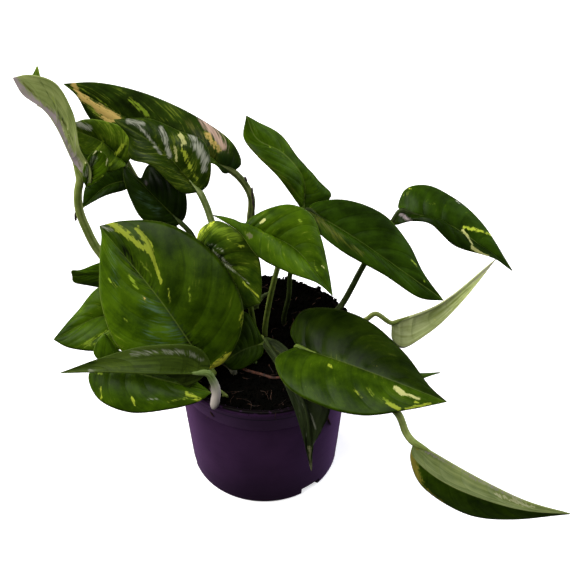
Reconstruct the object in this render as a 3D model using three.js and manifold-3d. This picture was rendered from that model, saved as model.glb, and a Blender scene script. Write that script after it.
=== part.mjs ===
// A potted devil's ivy: twenty-two leaves on their own stalks, in a purple plastic nursery pot filled with peat.
// Millimetres, +Z up. The origin is the middle of the pot's flat underside, and -Y is the side seen first.
import * as THREE from "three";
import Module from "manifold-3d";

const wasm = await Module();
wasm.setup();

// Pot
const POT_HEIGHT = 100;
const RIM_RADIUS = 60;
const COLLAR_FOOT = 78; // height of the fine ledge under the collar
const COLLAR_FOOT_RADIUS = 54.4;
const COLLAR_LEDGE = 0.8;
const WALL_TOP_RADIUS = 53.4;
const LIP = { height: 4, out: 0.4, rounding: 0.8 };
const BASE_RADIUS = 47;
const BASE_ROUNDING = 4;
const WALL = 1.8;
const FLOOR = 2.6;
const POT_SIDES = 40;
const DRAIN_HOLE = { radius: 4, out: 28, count: 4 };
const FOOT_GAP = { width: 15, height: 7, depth: 14, count: 3, firstAngle: -50 };

// Soil
const SOIL_CLEARANCE = 0.3;
const FACET_SAG = 0.2; // how far a flat facet lies inside the round it stands for
const SOIL_EDGE_HEIGHT = 94;
const SOIL_BACK_HEAP = 6; // the peat is heaped against the back of the rim
const SOIL_LUMP = 0.9;
const SOIL_RINGS = 5;
const SOIL_FOOT = { out: 3, height: 7 }; // the peat's lower edge is bevelled
const STALK_DEPTH = 12; // how far a stalk goes into its hole
const HOLE_CLEARANCE = 0.35;
const UPRIGHT_OVER_SOIL = 7; // a stalk stands straight for this far above the peat
const SHEATH_UPRIGHT = 2;
const HOLE_SIDES = 8;

// Leaves
const BLADE_THICKNESS = 0.8;
const BLADE_ROWS = 14; // from the stalk to the tip
const HALF_COLUMNS = 3; // from the midrib to one margin
const VEIN_SWEEP = 1.5; // over 1, the rows fan out of the stalk's end as the side veins do
const CUP = 3; // how far each half of a blade bulges between midrib and margin
const STALK_SIDES = 6;
const STALK_RINGS = 11;
const RIB_GRIP = 0.14; // share of the midrib along which the stalk runs into the blade
const RIB_END_RADIUS = 0.9;
const CLUB_END = 0.15; // share of a hanging stalk's length that rounds off its end
const CLUB_NARROWING = 0.8;

// Each leaf by its points, chosen by hand. rib: the midrib from stalk to tip. left and right: the margins between
// those two ends, seen from above with the tip away. stalk: from the blade down to the soil, which it enters at
// soil [x, y]. thick: the stalk's radius at the blade and at the soil. cup: the blade's own bulge in place of CUP.
// bands: the blade's own rows in place of BLADE_ROWS.
// The folded front leaf ends in a pale club that hangs over the rim, and a foot behind the club goes into the soil.
const LEAVES = {
  upper_left: {
    tone: "pale",
    cup: 1.5,
    rib: [
      [-108, 30, 208], [-114.5, 36, 225.5], [-120, 41, 237],
      [-127, 46.5, 245], [-140, 54, 251], [-146, 60, 259],
    ],
    left: [
      [-103, 28, 202], [-100, 26, 218], [-106, 28, 232],
      [-109, 36, 251], [-118, 46, 265], [-135, 56, 264],
    ],
    bands: 20,
    right: [
      [-102, 34, 200], [-92, 40, 209], [-96, 43, 216],
      [-104, 44.5, 213], [-113, 48, 233], [-118, 53, 249],
      [-129, 59, 258], [-131, 62, 266], [-135, 61, 260],
    ],
    stalk: [
      [-110, 28, 197], [-110, 27, 185], [-107, 26, 172],
      [-100, 25, 153], [-71, 17, 120], [-36, 11, 110],
    ],
    soil: [-26, 9],
    thick: [2.5, 3.3],
  },
  top_long: {
    tone: "streaked",
    rib: [[-18, 55, 192], [-68, 68, 214], [-119, 72, 246]],
    left: [[-23, 52, 193], [-30, 50, 202], [-74, 54, 204], [-102, 62, 225], [-111, 68, 240]],
    right: [[-13, 58, 196], [-18, 66, 206], [-41, 78, 217], [-73, 80, 234], [-99, 76, 244]],
    stalk: [[-11, 52, 185], [-7, 48, 177], [-8, 44, 161], [-8.5, 38, 133]],
    soil: [-12, 35],
    thick: [2.2, 2.4],
  },
  glossy_marbled: {
    tone: "marbled",
    rib: [[-37, 25, 201], [-60, 36, 225], [-87, 46, 239]],
    left: [[-46, 20, 204], [-55, 22, 211], [-66, 28, 219], [-78, 34, 220], [-79, 42, 229]],
    right: [[-32, 27, 204], [-30, 32, 216], [-34, 38, 229], [-50, 44, 233], [-67, 48, 238]],
    stalk: [[-33, 23, 191], [-30, 21, 180], [-17, 14, 132]],
    soil: [-15, 14],
    thick: [2.1, 2.2],
  },
  left_streaked: {
    tone: "dark",
    cup: 2,
    rib: [[-84, 54, 197], [-95, 55, 214], [-117, 56, 226]],
    left: [[-83, 48, 202], [-94, 45, 200], [-106, 48, 208]],
    right: [[-77, 54, 210], [-79, 56, 222], [-92, 58, 228], [-106, 58, 230]],
    stalk: [[-84, 66, 193], [-84, 73, 184], [-78, 72, 170], [-50, 56, 136]],
    soil: [-22, 41],
    thick: [1.6, 1.9],
  },
  left_shaded: {
    tone: "dark",
    cup: 1.5,
    rib: [[-82, 60, 182], [-97, 58, 178], [-112, 50, 167]],
    left: [[-84, 56, 178], [-98, 52, 175]],
    right: [[-83, 66, 188], [-98, 66, 188], [-109, 58, 180]],
    stalk: [[-69, 58, 163], [-47, 48, 130]],
    soil: [-34, 33],
    thick: [1.6, 1.9],
  },
  dark_back: {
    tone: "dark",
    rib: [[-50, 34, 169], [-65, 42, 182], [-84, 50, 201]],
    left: [[-55, 32, 167], [-72, 32, 172], [-80, 38, 185], [-84, 44, 196]],
    right: [[-47, 38, 171], [-47.5, 46, 184], [-58, 54, 196], [-69, 56, 197], [-75.5, 52, 188]],
    stalk: [[-45, 33, 163], [-42, 32, 157], [-27, 26, 112]],
    soil: [-22, 26],
    thick: [1.6, 1.8],
  },
  upper_centre: {
    tone: "mid",
    rib: [[24, 30, 183], [25, 37, 200], [13, 41, 217], [-3, 42, 228], [-9, 46, 242]],
    left: [[20.5, 28, 190.5], [10, 28, 209.5], [-3, 34, 221.5], [-10.5, 42, 228]],
    right: [
      [34, 33, 183], [42, 38, 188], [34, 44, 195],
      [21.5, 50, 204], [11, 54, 222], [-3, 50, 235],
    ],
    stalk: [[22, 29, 174], [14, 25, 160], [9, 20, 144], [4, 16, 121]],
    soil: [1, 11],
    thick: [1.6, 1.8],
  },
  right_dark: {
    tone: "dark",
    rib: [[27, 16, 195], [54, 10, 179], [109.5, -10, 145]],
    left: [[30, 20, 196], [50, 26, 194], [73, 24, 185], [88, 14, 170], [97, 2, 158]],
    right: [[30, 6, 191], [46, -2, 179], [73, -8, 164], [95, -12, 149]],
    stalk: [[25, 18, 181], [17, 21, 140], [16, 20, 121]],
    soil: [13, 21],
    thick: [1.4, 1.6],
  },
  centre_bright: {
    tone: "mid",
    rib: [[-11, -3, 197], [18, -6, 185], [42, -24, 162]],
    left: [[-8, 0, 200], [3, 6, 204], [17, 10, 204], [29, 8, 198], [36, 0, 185], [40, -12, 170]],
    right: [
      [-20, -6, 204], [-28, -6, 209], [-13, -12, 202],
      [-2, -20, 190], [17, -24, 180], [33, -26, 174],
    ],
    stalk: [[-10, 5, 184], [-9, 9, 172], [-9, 11, 134]],
    soil: [-6, 11],
    thick: [1.6, 1.8],
  },
  right_top: {
    tone: "dark",
    rib: [[85, 41, 173], [114, 36, 166], [155, 24, 138]],
    left: [[83, 46, 172], [88, 54, 179], [103, 58, 179], [119, 54, 172], [136.5, 42, 160.5]],
    right: [[81, 36, 166], [91, 34, 170], [102, 32, 170], [118, 26, 157], [141, 22, 151]],
    stalk: [[80, 41, 164], [64, 34, 137], [48, 24, 107]],
    soil: [38, 16],
    thick: [1.6, 2.1],
  },
  right_pale: {
    tone: "pale",
    cup: 1.5,
    rib: [[80, 6, 111], [108, 8, 124], [141, 8, 162.5]],
    left: [[81, 4, 98], [87, 2, 93], [103, 2, 106], [123.5, 4, 132.5]],
    right: [[87, 16, 90], [106.5, 24, 94], [129.5, 18, 131.5]],
    stalk: [[70, 8, 117], [64, 9, 111], [53, 11, 105]],
    soil: [30, 11],
    thick: [1.5, 1.7],
  },
  right_front: {
    tone: "bright",
    rib: [[21, -28, 124], [52, -46, 127], [109, -70, 120]],
    left: [
      [17, -14, 124], [24, -6, 133], [41, -6, 135],
      [64, -16, 134], [85, -36, 128], [100, -58, 120],
    ],
    right: [[8, -44, 129], [14, -60, 124], [33, -72, 120], [59, -78, 117], [87, -76, 120]],
    stalk: [[22, -26, 117]],
    soil: [22, -18],
    thick: [1.7, 1.9],
  },
  right_sliver: {
    tone: "dark",
    cup: 0.5,
    rib: [[75, -32, 96], [91, -35, 105], [108, -36, 110]],
    left: [[79, -22, 91], [93, -24, 96]],
    right: [[76, -42, 103], [90, -46, 112]],
    stalk: [[68, -30, 102], [56, -24, 107]],
    soil: [42, -14],
    thick: [1.2, 1.4],
  },
  lower_right: {
    tone: "pale",
    cup: 2,
    rib: [[90, -78, 94], [130, -90, 74], [160, -94, 58], [187, -95, 48]],
    left: [[89, -86, 92], [99, -98, 88], [120, -104, 79], [154, -102, 60]],
    right: [[89, -76, 76], [98, -80, 55], [125, -84, 34], [154, -90, 37]],
    stalk: [[86, -74, 97], [80, -69, 110], [65, -60, 115], [41, -42, 111]],
    soil: [30, -34],
    thick: [2.2, 2.3],
  },
  left_front_big: {
    tone: "bright",
    rib: [[-33, -32, 108], [-60, -16, 150], [-97, 14, 184]],
    left: [
      [-50, -34, 112], [-74, -30, 111], [-88, -22, 119],
      [-98, -6, 142], [-98, 6, 164], [-96, 12, 178],
    ],
    right: [
      [-24, -32, 114], [-14, -28, 131], [-11, -22, 152], [-19, -12, 170],
      [-34, 0, 182], [-58, 10, 190], [-83, 14, 188],
    ],
    stalk: [[-30, -30, 103]],
    soil: [-34, -22],
    thick: [1.9, 2.1],
  },
  front_folded: {
    tone: "pale",
    cup: 1.5,
    rib: [[-32, -55, 129], [-66, -59, 133], [-96, -54, 129], [-120, -50, 124]],
    left: [[-30, -54, 136], [-38, -52, 148], [-65, -50, 147], [-96, -50, 136]],
    right: [[-37, -53, 121], [-46, -53, 115], [-56, -46, 121], [-90, -47, 127]],
    stalk: [[-29, -55, 123], [-27, -56, 115], [-29, -57, 101]],
    foot: [[-27, -57, 107], [-28, -50, 106], [-30, -42, 103]],
    footSoil: [-31, -37],
    footRadius: 2.1,
    thick: [2, 3],
  },
  front_round: {
    tone: "mid",
    rib: [[-97, -38, 121], [-73, -44, 117], [-30, -53, 110]],
    left: [[-101, -34, 125], [-93, -36, 143], [-85, -29, 120], [-61, -36, 117], [-42, -46, 115]],
    right: [[-104, -44, 116], [-98, -54, 106], [-80, -60, 100], [-56, -60, 103], [-37, -57, 107]],
    stalk: [[-95, -34, 117], [-81, -26, 109], [-57, -22, 103]],
    soil: [-38, -14],
    thick: [1.6, 1.9],
  },
  left_low: {
    tone: "mid",
    rib: [[-70, 4, 111], [-97, 2, 121], [-129, -10, 112]],
    left: [[-76, -6, 106], [-100, -16, 108], [-119, -14, 109]],
    right: [[-76, 12, 128], [-97, 12, 138], [-115, 4, 123]],
    stalk: [[-61, 5, 106]],
    soil: [-40, 0],
    thick: [1.6, 1.8],
  },
  left_stub: {
    tone: "mid",
    cup: 1,
    rib: [[-84, 40, 123], [-103, 34, 127], [-119, 26, 132]],
    left: [[-87, 36, 113], [-106, 32, 117], [-116, 28, 124], [-119, 26, 128]],
    right: [[-87, 44, 133], [-104, 37, 133], [-114, 29, 135], [-119, 26, 137]],
    stalk: [[-72, 38, 114]],
    soil: [-40, 22],
    thick: [1.4, 1.7],
  },
  centre_yellow: {
    tone: "yellow",
    rib: [[-40, 14, 165], [-19, 2, 162], [-1, -12, 145]],
    left: [[-37, 14, 181], [-26, 8, 193], [-12, -3, 193], [-2, -5, 177], [0, -10, 160]],
    right: [[-40, 6, 151], [-30, 0, 138], [-12, -8, 136]],
    stalk: [[-36, 16, 153], [-25, 8, 125]],
    soil: [-26, -4],
    thick: [1.6, 1.9],
  },
  hanging_front: {
    tone: "dark",
    rib: [[2, -12, 113], [25, -58, 106], [30, -66, 54]],
    left: [[0, -12, 110], [8, -30, 111], [18, -56, 103], [25, -66, 82], [28, -67, 67]],
    right: [[8, -14, 116], [26, -34, 113], [41, -56, 105], [36, -64, 89], [30, -67, 75]],
    stalk: [[3, -6, 108]],
    soil: [9, -3],
    thick: [1.5, 1.7],
  },
  centre_shaded: {
    tone: "dark",
    cup: 2,
    rib: [[0, -2, 101], [-11, -12, 106], [-24, -25, 107]],
    left: [[-1, -10, 98], [-9, -20, 99], [-19, -26, 102]],
    right: [[-3, 4, 107], [-12, 8, 119], [-21, -2, 109]],
    stalk: [[1, 0, 97]],
    soil: [-1, 4],
    thick: [1.3, 1.5],
  },
};

// Short leftovers of old leaves: bases that stand in the soil. path: from the free end down.
const OLD_SHEATHS = {
  old_sheath_left: { path: [[-27, -21, 104], [-23, -21, 102]], soil: [-18, -22], thick: [1.2, 3.2] },
  old_sheath_back: { path: [[4, 37, 108], [-1, 36, 105]], soil: [-5, 33], thick: [0.9, 2.8] },
  cut_stub: { path: [[-6, -10, 101]], soil: [-5, -12], thick: [1, 1.7] },
};

// A brown root that lies on the peat.
const SURFACE_ROOT = {
  path: [[-14, -19], [-6, -21], [0, -25], [6, -27], [11, -26]],
  thick: [1.0, 0.8],
  lift: 1.7,
};

const vector = (p) => new THREE.Vector3(...p);

// A point on the smooth curve through the given points, at t from 0 to 1.
function curveThrough(points) {
  return new THREE.CatmullRomCurve3(points.map(vector), false, "centripetal");
}

// A closed solid from vertices and triangles.
function solid(vertices, triangles) {
  const vertProperties = new Float32Array(vertices.flatMap((v) => [v.x, v.y, v.z]));
  const triVerts = new Uint32Array(triangles.flat());
  return new wasm.Manifold(new wasm.Mesh({ numProp: 3, vertProperties, triVerts }));
}

function meshOf(name, made, finish) {
  const { numProp, vertProperties, triVerts } = made.getMesh();
  const geometry = new THREE.BufferGeometry();
  const positions = new Float32Array((vertProperties.length / numProp) * 3);
  for (let i = 0; i < positions.length / 3; i += 1) {
    positions.set(vertProperties.subarray(i * numProp, i * numProp + 3), i * 3);
  }
  geometry.setAttribute("position", new THREE.BufferAttribute(positions, 3));
  geometry.setIndex(new THREE.BufferAttribute(triVerts, 1));
  geometry.computeVertexNormals();
  const mesh = new THREE.Mesh(geometry, new THREE.MeshStandardMaterial(finish));
  mesh.name = name;
  return mesh;
}

// A round bar along a curve, with its own radius at each share t of its length.
function bar(curve, radiusAt, sides, rings) {
  const vertices = [];
  const triangles = [];
  const frames = curve.computeFrenetFrames(rings);
  for (let i = 0; i <= rings; i += 1) {
    const centre = curve.getPointAt(i / rings);
    for (let k = 0; k < sides; k += 1) {
      const angle = (2 * Math.PI * k) / sides;
      const out = frames.normals[i].clone().multiplyScalar(Math.cos(angle));
      out.addScaledVector(frames.binormals[i], Math.sin(angle));
      vertices.push(centre.clone().addScaledVector(out, radiusAt(i / rings)));
    }
  }
  for (let i = 0; i < rings; i += 1) {
    for (let k = 0; k < sides; k += 1) {
      const a = i * sides + k;
      const b = i * sides + ((k + 1) % sides);
      triangles.push([a, b, b + sides], [a, b + sides, a + sides]);
    }
  }
  for (let k = 1; k < sides - 1; k += 1) {
    const last = rings * sides;
    triangles.push([0, k + 1, k], [last, last + k, last + k + 1]);
  }
  return solid(vertices, triangles);
}

const taper = ([start, end]) => (t) => start + (end - start) * t;

// The middle surface of a blade: rows from the stalk to the tip, columns from the left margin to the right.
// A point lies on the straight line from a point of the midrib to a point of the margin, bulged by CUP.
function bladeRows({ rib, left, right, cup = CUP, bands = BLADE_ROWS }) {
  const midrib = curveThrough(rib);
  const base = rib[0];
  const tip = rib[rib.length - 1];
  const margins = [left, right].map((side) => curveThrough([base, ...side, tip]));
  const upward = vector(right[0]).sub(vector(left[0])).normalize();
  const rows = [];
  for (let i = 1; i < bands; i += 1) {
    const u = i / bands;
    const centre = midrib.getPointAt(u ** VEIN_SWEEP);
    const along = midrib.getTangentAt(u ** VEIN_SWEEP);
    const row = [];
    for (let j = -HALF_COLUMNS; j <= HALF_COLUMNS; j += 1) {
      const s = Math.abs(j) / HALF_COLUMNS;
      const edge = margins[j < 0 ? 0 : 1].getPoint(u).sub(centre);
      const across = j < 0 ? edge.clone().negate() : edge.clone();
      const up = across.lengthSq() > 0 ? across.cross(along).normalize() : upward;
      const bulge = cup * 4 * s * (1 - s) * Math.sin(Math.PI * u);
      row.push(centre.clone().addScaledVector(edge, s).addScaledVector(up, bulge));
    }
    rows.push(row);
  }
  return { rows, base: vector(base), tip: vector(tip) };
}

// A blade: its middle surface moved half the thickness to each side, closed along the margins.
function blade(leaf) {
  const { rows, base, tip } = bladeRows(leaf);
  const columns = 2 * HALF_COLUMNS + 1;
  const middle = [base, ...rows.flat(), tip];
  const last = middle.length - 1;
  const at = (i, j) => 1 + i * columns + j;
  const upper = [];
  for (let j = 0; j < columns - 1; j += 1) {
    upper.push([0, at(0, j + 1), at(0, j)]);
    upper.push([at(rows.length - 1, j), at(rows.length - 1, j + 1), last]);
    for (let i = 0; i < rows.length - 1; i += 1) {
      upper.push([at(i, j), at(i, j + 1), at(i + 1, j + 1)], [at(i, j), at(i + 1, j + 1), at(i + 1, j)]);
    }
  }
  const normals = vertexNormals(middle, upper);
  const face = (side) => middle.map((p, k) => p.clone().addScaledVector(normals[k], side * BLADE_THICKNESS / 2));
  const below = middle.length;
  const lower = upper.map(([a, b, c]) => [a + below, c + below, b + below]);
  const rightEdge = rows.map((_, i) => at(i, columns - 1));
  const leftEdge = rows.map((_, i) => at(i, 0)).reverse();
  const loop = [0, ...rightEdge, last, ...leftEdge];
  const rim = loop.flatMap((p, k) => {
    const q = loop[(k + 1) % loop.length];
    return [[q, p, p + below], [q, p + below, q + below]];
  });
  return solid([...face(1), ...face(-1)], [...upper, ...lower, ...rim]);
}

function vertexNormals(vertices, triangles) {
  const geometry = new THREE.BufferGeometry().setFromPoints(vertices);
  geometry.setIndex(triangles.flat());
  geometry.computeVertexNormals();
  return vertices.map((_, k) => new THREE.Vector3().fromBufferAttribute(geometry.attributes.normal, k));
}

// The stalk's path: out of the blade's midrib, along its own points and straight down into the soil.
function stalkPath({ rib, stalk, soil }) {
  const midrib = curveThrough(rib);
  const inBlade = [RIB_GRIP, RIB_GRIP / 2].map((t) => midrib.getPointAt(t).toArray());
  const path = [...inBlade, rib[0], ...stalk];
  if (soil) path.push(...intoSoil(soil, UPRIGHT_OVER_SOIL));
  return curveThrough(path);
}

function intoSoil([x, y], straight) {
  const top = soilHeight(x, y);
  return [[x, y, top + straight], [x, y, top], [x, y, top - STALK_DEPTH]];
}

function leafSolid(leaf) {
  const path = stalkPath(leaf);
  const [atBlade, atSoil] = leaf.thick;
  const ribShare = (RIB_GRIP * curveThrough(leaf.rib).getLength()) / path.getLength();
  const radius = (t) => {
    if (t < ribShare) return RIB_END_RADIUS + ((atBlade - RIB_END_RADIUS) * t) / ribShare;
    return atBlade + (atSoil - atBlade) * t;
  };
  const pastClub = (t) => Math.max(0, (t - 1 + CLUB_END) / CLUB_END);
  const rounded = (t) => radius(t) * Math.sqrt(1 - CLUB_NARROWING * pastClub(t) ** 2);
  const joined = blade(leaf).add(bar(path, leaf.soil ? radius : rounded, STALK_SIDES, STALK_RINGS));
  if (!leaf.foot) return joined;
  const foot = [...leaf.foot, ...intoSoil(leaf.footSoil, SHEATH_UPRIGHT)];
  return joined.add(bar(curveThrough(foot), () => leaf.footRadius, STALK_SIDES, STALK_RINGS));
}

// Radius of the pot's inside at a height.
function insideRadius(z) {
  const low = BASE_RADIUS - WALL;
  const middle = WALL_TOP_RADIUS - WALL;
  const high = RIM_RADIUS - WALL - LIP.out;
  if (z < COLLAR_FOOT) return low + ((middle - low) * (z - FLOOR)) / (COLLAR_FOOT - FLOOR);
  return middle + ((high - middle) * (z - COLLAR_FOOT)) / (POT_HEIGHT - COLLAR_FOOT);
}

// The pot turned in one piece, its profile closed on itself at the axis.
function potTurned() {
  const profile = [[0, 0], [BASE_RADIUS - BASE_ROUNDING, 0]];
  for (const degrees of [30, 60, 90]) {
    const angle = (degrees * Math.PI) / 180;
    const r = BASE_RADIUS - BASE_ROUNDING + BASE_ROUNDING * Math.sin(angle);
    profile.push([r, BASE_ROUNDING - BASE_ROUNDING * Math.cos(angle)]);
  }
  profile.push([WALL_TOP_RADIUS, COLLAR_FOOT - COLLAR_LEDGE], [COLLAR_FOOT_RADIUS, COLLAR_FOOT]);
  const lipFoot = POT_HEIGHT - LIP.height;
  profile.push([RIM_RADIUS - LIP.out, lipFoot - LIP.out], [RIM_RADIUS, lipFoot]);
  profile.push([RIM_RADIUS, POT_HEIGHT - LIP.rounding], [RIM_RADIUS - LIP.rounding, POT_HEIGHT]);
  profile.push([insideRadius(POT_HEIGHT), POT_HEIGHT], [insideRadius(COLLAR_FOOT), COLLAR_FOOT]);
  profile.push([insideRadius(FLOOR), FLOOR], [0, FLOOR]);
  return turned(profile);
}

// A profile of [radius, height] points, from axis to axis, turned about the vertical.
function turned(profile) {
  const vertices = [];
  const triangles = [];
  const rings = profile.map(([r, z]) => {
    const first = vertices.length;
    const count = r === 0 ? 1 : POT_SIDES;
    for (let k = 0; k < count; k += 1) {
      const angle = (2 * Math.PI * k) / POT_SIDES;
      vertices.push(new THREE.Vector3(r * Math.cos(angle), r * Math.sin(angle), z));
    }
    return (k) => first + (k % count);
  });
  for (let i = 0; i < rings.length - 1; i += 1) {
    for (let k = 0; k < POT_SIDES; k += 1) {
      const [a, b] = [rings[i](k), rings[i](k + 1)];
      const [c, d] = [rings[i + 1](k), rings[i + 1](k + 1)];
      if (a !== b) triangles.push([a, b, c]);
      if (c !== d) triangles.push([b, d, c]);
    }
  }
  return solid(vertices, triangles);
}

const upright = (x, y, low, high) => curveThrough([[x, y, low], [x, y, high]]);

function pot() {
  let made = potTurned();
  for (let k = 0; k < DRAIN_HOLE.count; k += 1) {
    const angle = (2 * Math.PI * (k + 0.5)) / DRAIN_HOLE.count;
    const [x, y] = [DRAIN_HOLE.out * Math.cos(angle), DRAIN_HOLE.out * Math.sin(angle)];
    made = made.subtract(bar(upright(x, y, -1, FLOOR + 1), () => DRAIN_HOLE.radius, 16, 1));
  }
  for (let k = 0; k < FOOT_GAP.count; k += 1) {
    const degrees = FOOT_GAP.firstAngle + (360 * k) / FOOT_GAP.count;
    made = made.subtract(footGap((degrees * Math.PI) / 180));
  }
  return made;
}

// The block cut out of the rounded foot, so that water drains away under the pot.
function footGap(angle) {
  const block = new THREE.BoxGeometry(FOOT_GAP.depth, FOOT_GAP.width, 2 * FOOT_GAP.height);
  block.translate(BASE_RADIUS, 0, 0).rotateZ(angle);
  const corners = block.getAttribute("position");
  const unique = new Map();
  const renumber = [];
  for (let k = 0; k < corners.count; k += 1) {
    const p = new THREE.Vector3().fromBufferAttribute(corners, k);
    const key = p.toArray().map((value) => value.toFixed(3)).join();
    if (!unique.has(key)) unique.set(key, { index: unique.size, p });
    renumber.push(unique.get(key).index);
  }
  const flat = Array.from(block.index.array, (k) => renumber[k]);
  const triangles = flat.filter((_, k) => k % 3 === 0).map((_, k) => flat.slice(3 * k, 3 * k + 3));
  return solid([...unique.values()].map((entry) => entry.p), triangles);
}

// Height of the peat: level in front, heaped at the back, lumpy all over.
function soilHeight(x, y) {
  const back = THREE.MathUtils.smoothstep(y, 0, RIM_RADIUS);
  const lump = Math.sin(x * 0.31 + 1) * Math.cos(y * 0.27) + 0.6 * Math.sin(x * 0.13 - y * 0.53);
  return SOIL_EDGE_HEIGHT + SOIL_BACK_HEAP * back + SOIL_LUMP * lump;
}

function soil() {
  const bottom = FLOOR + SOIL_CLEARANCE;
  const vertices = [new THREE.Vector3(0, 0, bottom)];
  const sides = [bottom, SOIL_FOOT.height, COLLAR_FOOT];
  const ring = (radius, height) => {
    for (let k = 0; k < POT_SIDES; k += 1) {
      const angle = (2 * Math.PI * k) / POT_SIDES;
      const [x, y] = [radius * Math.cos(angle), radius * Math.sin(angle)];
      vertices.push(new THREE.Vector3(x, y, height(x, y)));
    }
  };
  for (const z of sides) {
    const bevel = z === bottom ? SOIL_FOOT.out : 0;
    ring(insideRadius(z) - SOIL_CLEARANCE - FACET_SAG - bevel, () => z);
  }
  const edge = insideRadius(SOIL_EDGE_HEIGHT) - SOIL_CLEARANCE - FACET_SAG;
  for (let i = SOIL_RINGS; i > 0; i -= 1) ring((edge * i) / SOIL_RINGS, soilHeight);
  vertices.push(new THREE.Vector3(0, 0, soilHeight(0, 0)));
  return solid(vertices, ringTriangles(sides.length + SOIL_RINGS));
}

// Triangles of a stack of rings with a first and a last point on the axis.
function ringTriangles(count) {
  const triangles = [];
  const last = 1 + count * POT_SIDES;
  for (let k = 0; k < POT_SIDES; k += 1) {
    const next = (k + 1) % POT_SIDES;
    triangles.push([0, 1 + next, 1 + k]);
    triangles.push([last, last - POT_SIDES + k, last - POT_SIDES + next]);
    for (let i = 0; i < count - 1; i += 1) {
      const a = 1 + i * POT_SIDES;
      triangles.push([a + k, a + next, a + POT_SIDES + next], [a + k, a + POT_SIDES + next, a + POT_SIDES + k]);
    }
  }
  return triangles;
}

function holeIn(peat, [x, y], radius) {
  const wide = (radius + HOLE_CLEARANCE) / Math.cos(Math.PI / HOLE_SIDES);
  const top = soilHeight(x, y);
  const low = top - STALK_DEPTH - HOLE_CLEARANCE;
  return peat.subtract(bar(upright(x, y, low, top + STALK_DEPTH), () => wide, HOLE_SIDES, 1));
}

// Finishes
const TONES = {
  bright: 0x3f6a14,
  mid: 0x33591a,
  dark: 0x1b3310,
  marbled: 0x4d7326,
  yellow: 0x6f8424,
  streaked: 0x2d4a14,
  pale: 0x71884a,
};
const leafFinish = (tone) => ({ color: TONES[tone], roughness: 0.4, metalness: 0 });
const POT_FINISH = { color: 0x3b2446, roughness: 0.45, metalness: 0 };
const SOIL_FINISH = { color: 0x100c09, roughness: 0.95, metalness: 0 };
const STUB_FINISH = { color: 0x4a4631, roughness: 0.7, metalness: 0 };
const ROOT_FINISH = { color: 0x5a3323, roughness: 0.8, metalness: 0 };

function sheath({ path, soil: place, thick }) {
  const planted = curveThrough([...path, ...intoSoil(place, SHEATH_UPRIGHT)]);
  return bar(planted, taper(thick), STALK_SIDES, STALK_RINGS);
}

function surfaceRoot({ path, thick, lift }) {
  const lying = path.map(([x, y]) => [x, y, soilHeight(x, y) + lift]);
  return bar(curveThrough(lying), taper(thick), STALK_SIDES, STALK_RINGS);
}

// The peat with a plain hole for each thing that stands in it.
function plantedSoil() {
  let peat = soil();
  const planted = [...Object.values(LEAVES), ...Object.values(OLD_SHEATHS)];
  for (const { soil: place, footSoil, thick, footRadius } of planted) {
    peat = holeIn(peat, place ?? footSoil, place ? thick[1] : footRadius);
  }
  return peat;
}

const plant = new THREE.Group();
plant.add(meshOf("pot", pot(), POT_FINISH));
plant.add(meshOf("soil", plantedSoil(), SOIL_FINISH));
for (const [name, leaf] of Object.entries(LEAVES)) {
  plant.add(meshOf(`leaf_${name}`, leafSolid(leaf), leafFinish(leaf.tone)));
}
for (const [name, stub] of Object.entries(OLD_SHEATHS)) plant.add(meshOf(name, sheath(stub), STUB_FINISH));
plant.add(meshOf("surface_root", surfaceRoot(SURFACE_ROOT), ROOT_FINISH));

export default plant;
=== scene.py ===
"""A potted devil's ivy: variegated leaves on their own stalks, in a purple plastic nursery pot of peat.

Tables are in millimetres and Blender's meshes in metres, with +Z up. The origin is the middle of the pot's
underside, and -Y is the side seen first. Each leaf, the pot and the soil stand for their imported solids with
the same form.
"""

import bpy
import numpy as np
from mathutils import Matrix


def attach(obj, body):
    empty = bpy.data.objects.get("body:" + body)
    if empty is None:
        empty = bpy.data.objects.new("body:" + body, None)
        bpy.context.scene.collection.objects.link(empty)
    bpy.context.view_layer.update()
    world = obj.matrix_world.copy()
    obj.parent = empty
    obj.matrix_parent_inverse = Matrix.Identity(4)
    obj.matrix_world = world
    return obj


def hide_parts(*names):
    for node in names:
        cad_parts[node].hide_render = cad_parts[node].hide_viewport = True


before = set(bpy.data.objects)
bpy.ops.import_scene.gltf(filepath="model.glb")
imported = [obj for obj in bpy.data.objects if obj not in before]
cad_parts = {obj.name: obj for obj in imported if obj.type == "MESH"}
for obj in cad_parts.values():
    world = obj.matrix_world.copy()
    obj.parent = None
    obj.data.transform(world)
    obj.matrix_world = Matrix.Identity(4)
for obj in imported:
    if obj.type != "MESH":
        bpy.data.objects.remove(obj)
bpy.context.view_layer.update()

METRE = 0.001  # of a millimetre
FULL_TURN = 2 * np.pi

# Pot
POT_HEIGHT = 100
RIM_RADIUS = 60
COLLAR_FOOT = 78
COLLAR_FOOT_RADIUS = 54.4
WALL_TOP_RADIUS = 53.4
LEDGE_DROP = 0.8
LIP_HEIGHT, LIP_OUT = 4, 0.4
BASE_RADIUS = 47
BASE_ROUNDING = 4
WALL = 1.8
FLOOR = 2.6
FOOT_INNER = 40
FOOT_GAP = {"half_angle": 9, "height": 7, "angles": (-50, 70, 190)}
DRAIN_RADIUS, DRAIN_OUT = 4, 28
DRAIN_ANGLES = (0, 90, 180, 270)  # where each quarter of the floor starts, with its hole in the middle
DRAIN_RINGS = (1, 0.6, 0.25, 0)  # shares of the way from a hole's edge to the quarter's outline
POT_SIDES, FOOT_POINTS, FLOOR_POINTS = 360, 8, 17
SHARP_EDGE = 50  # degrees between two faces from which the pot's edge is drawn sharp

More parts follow.
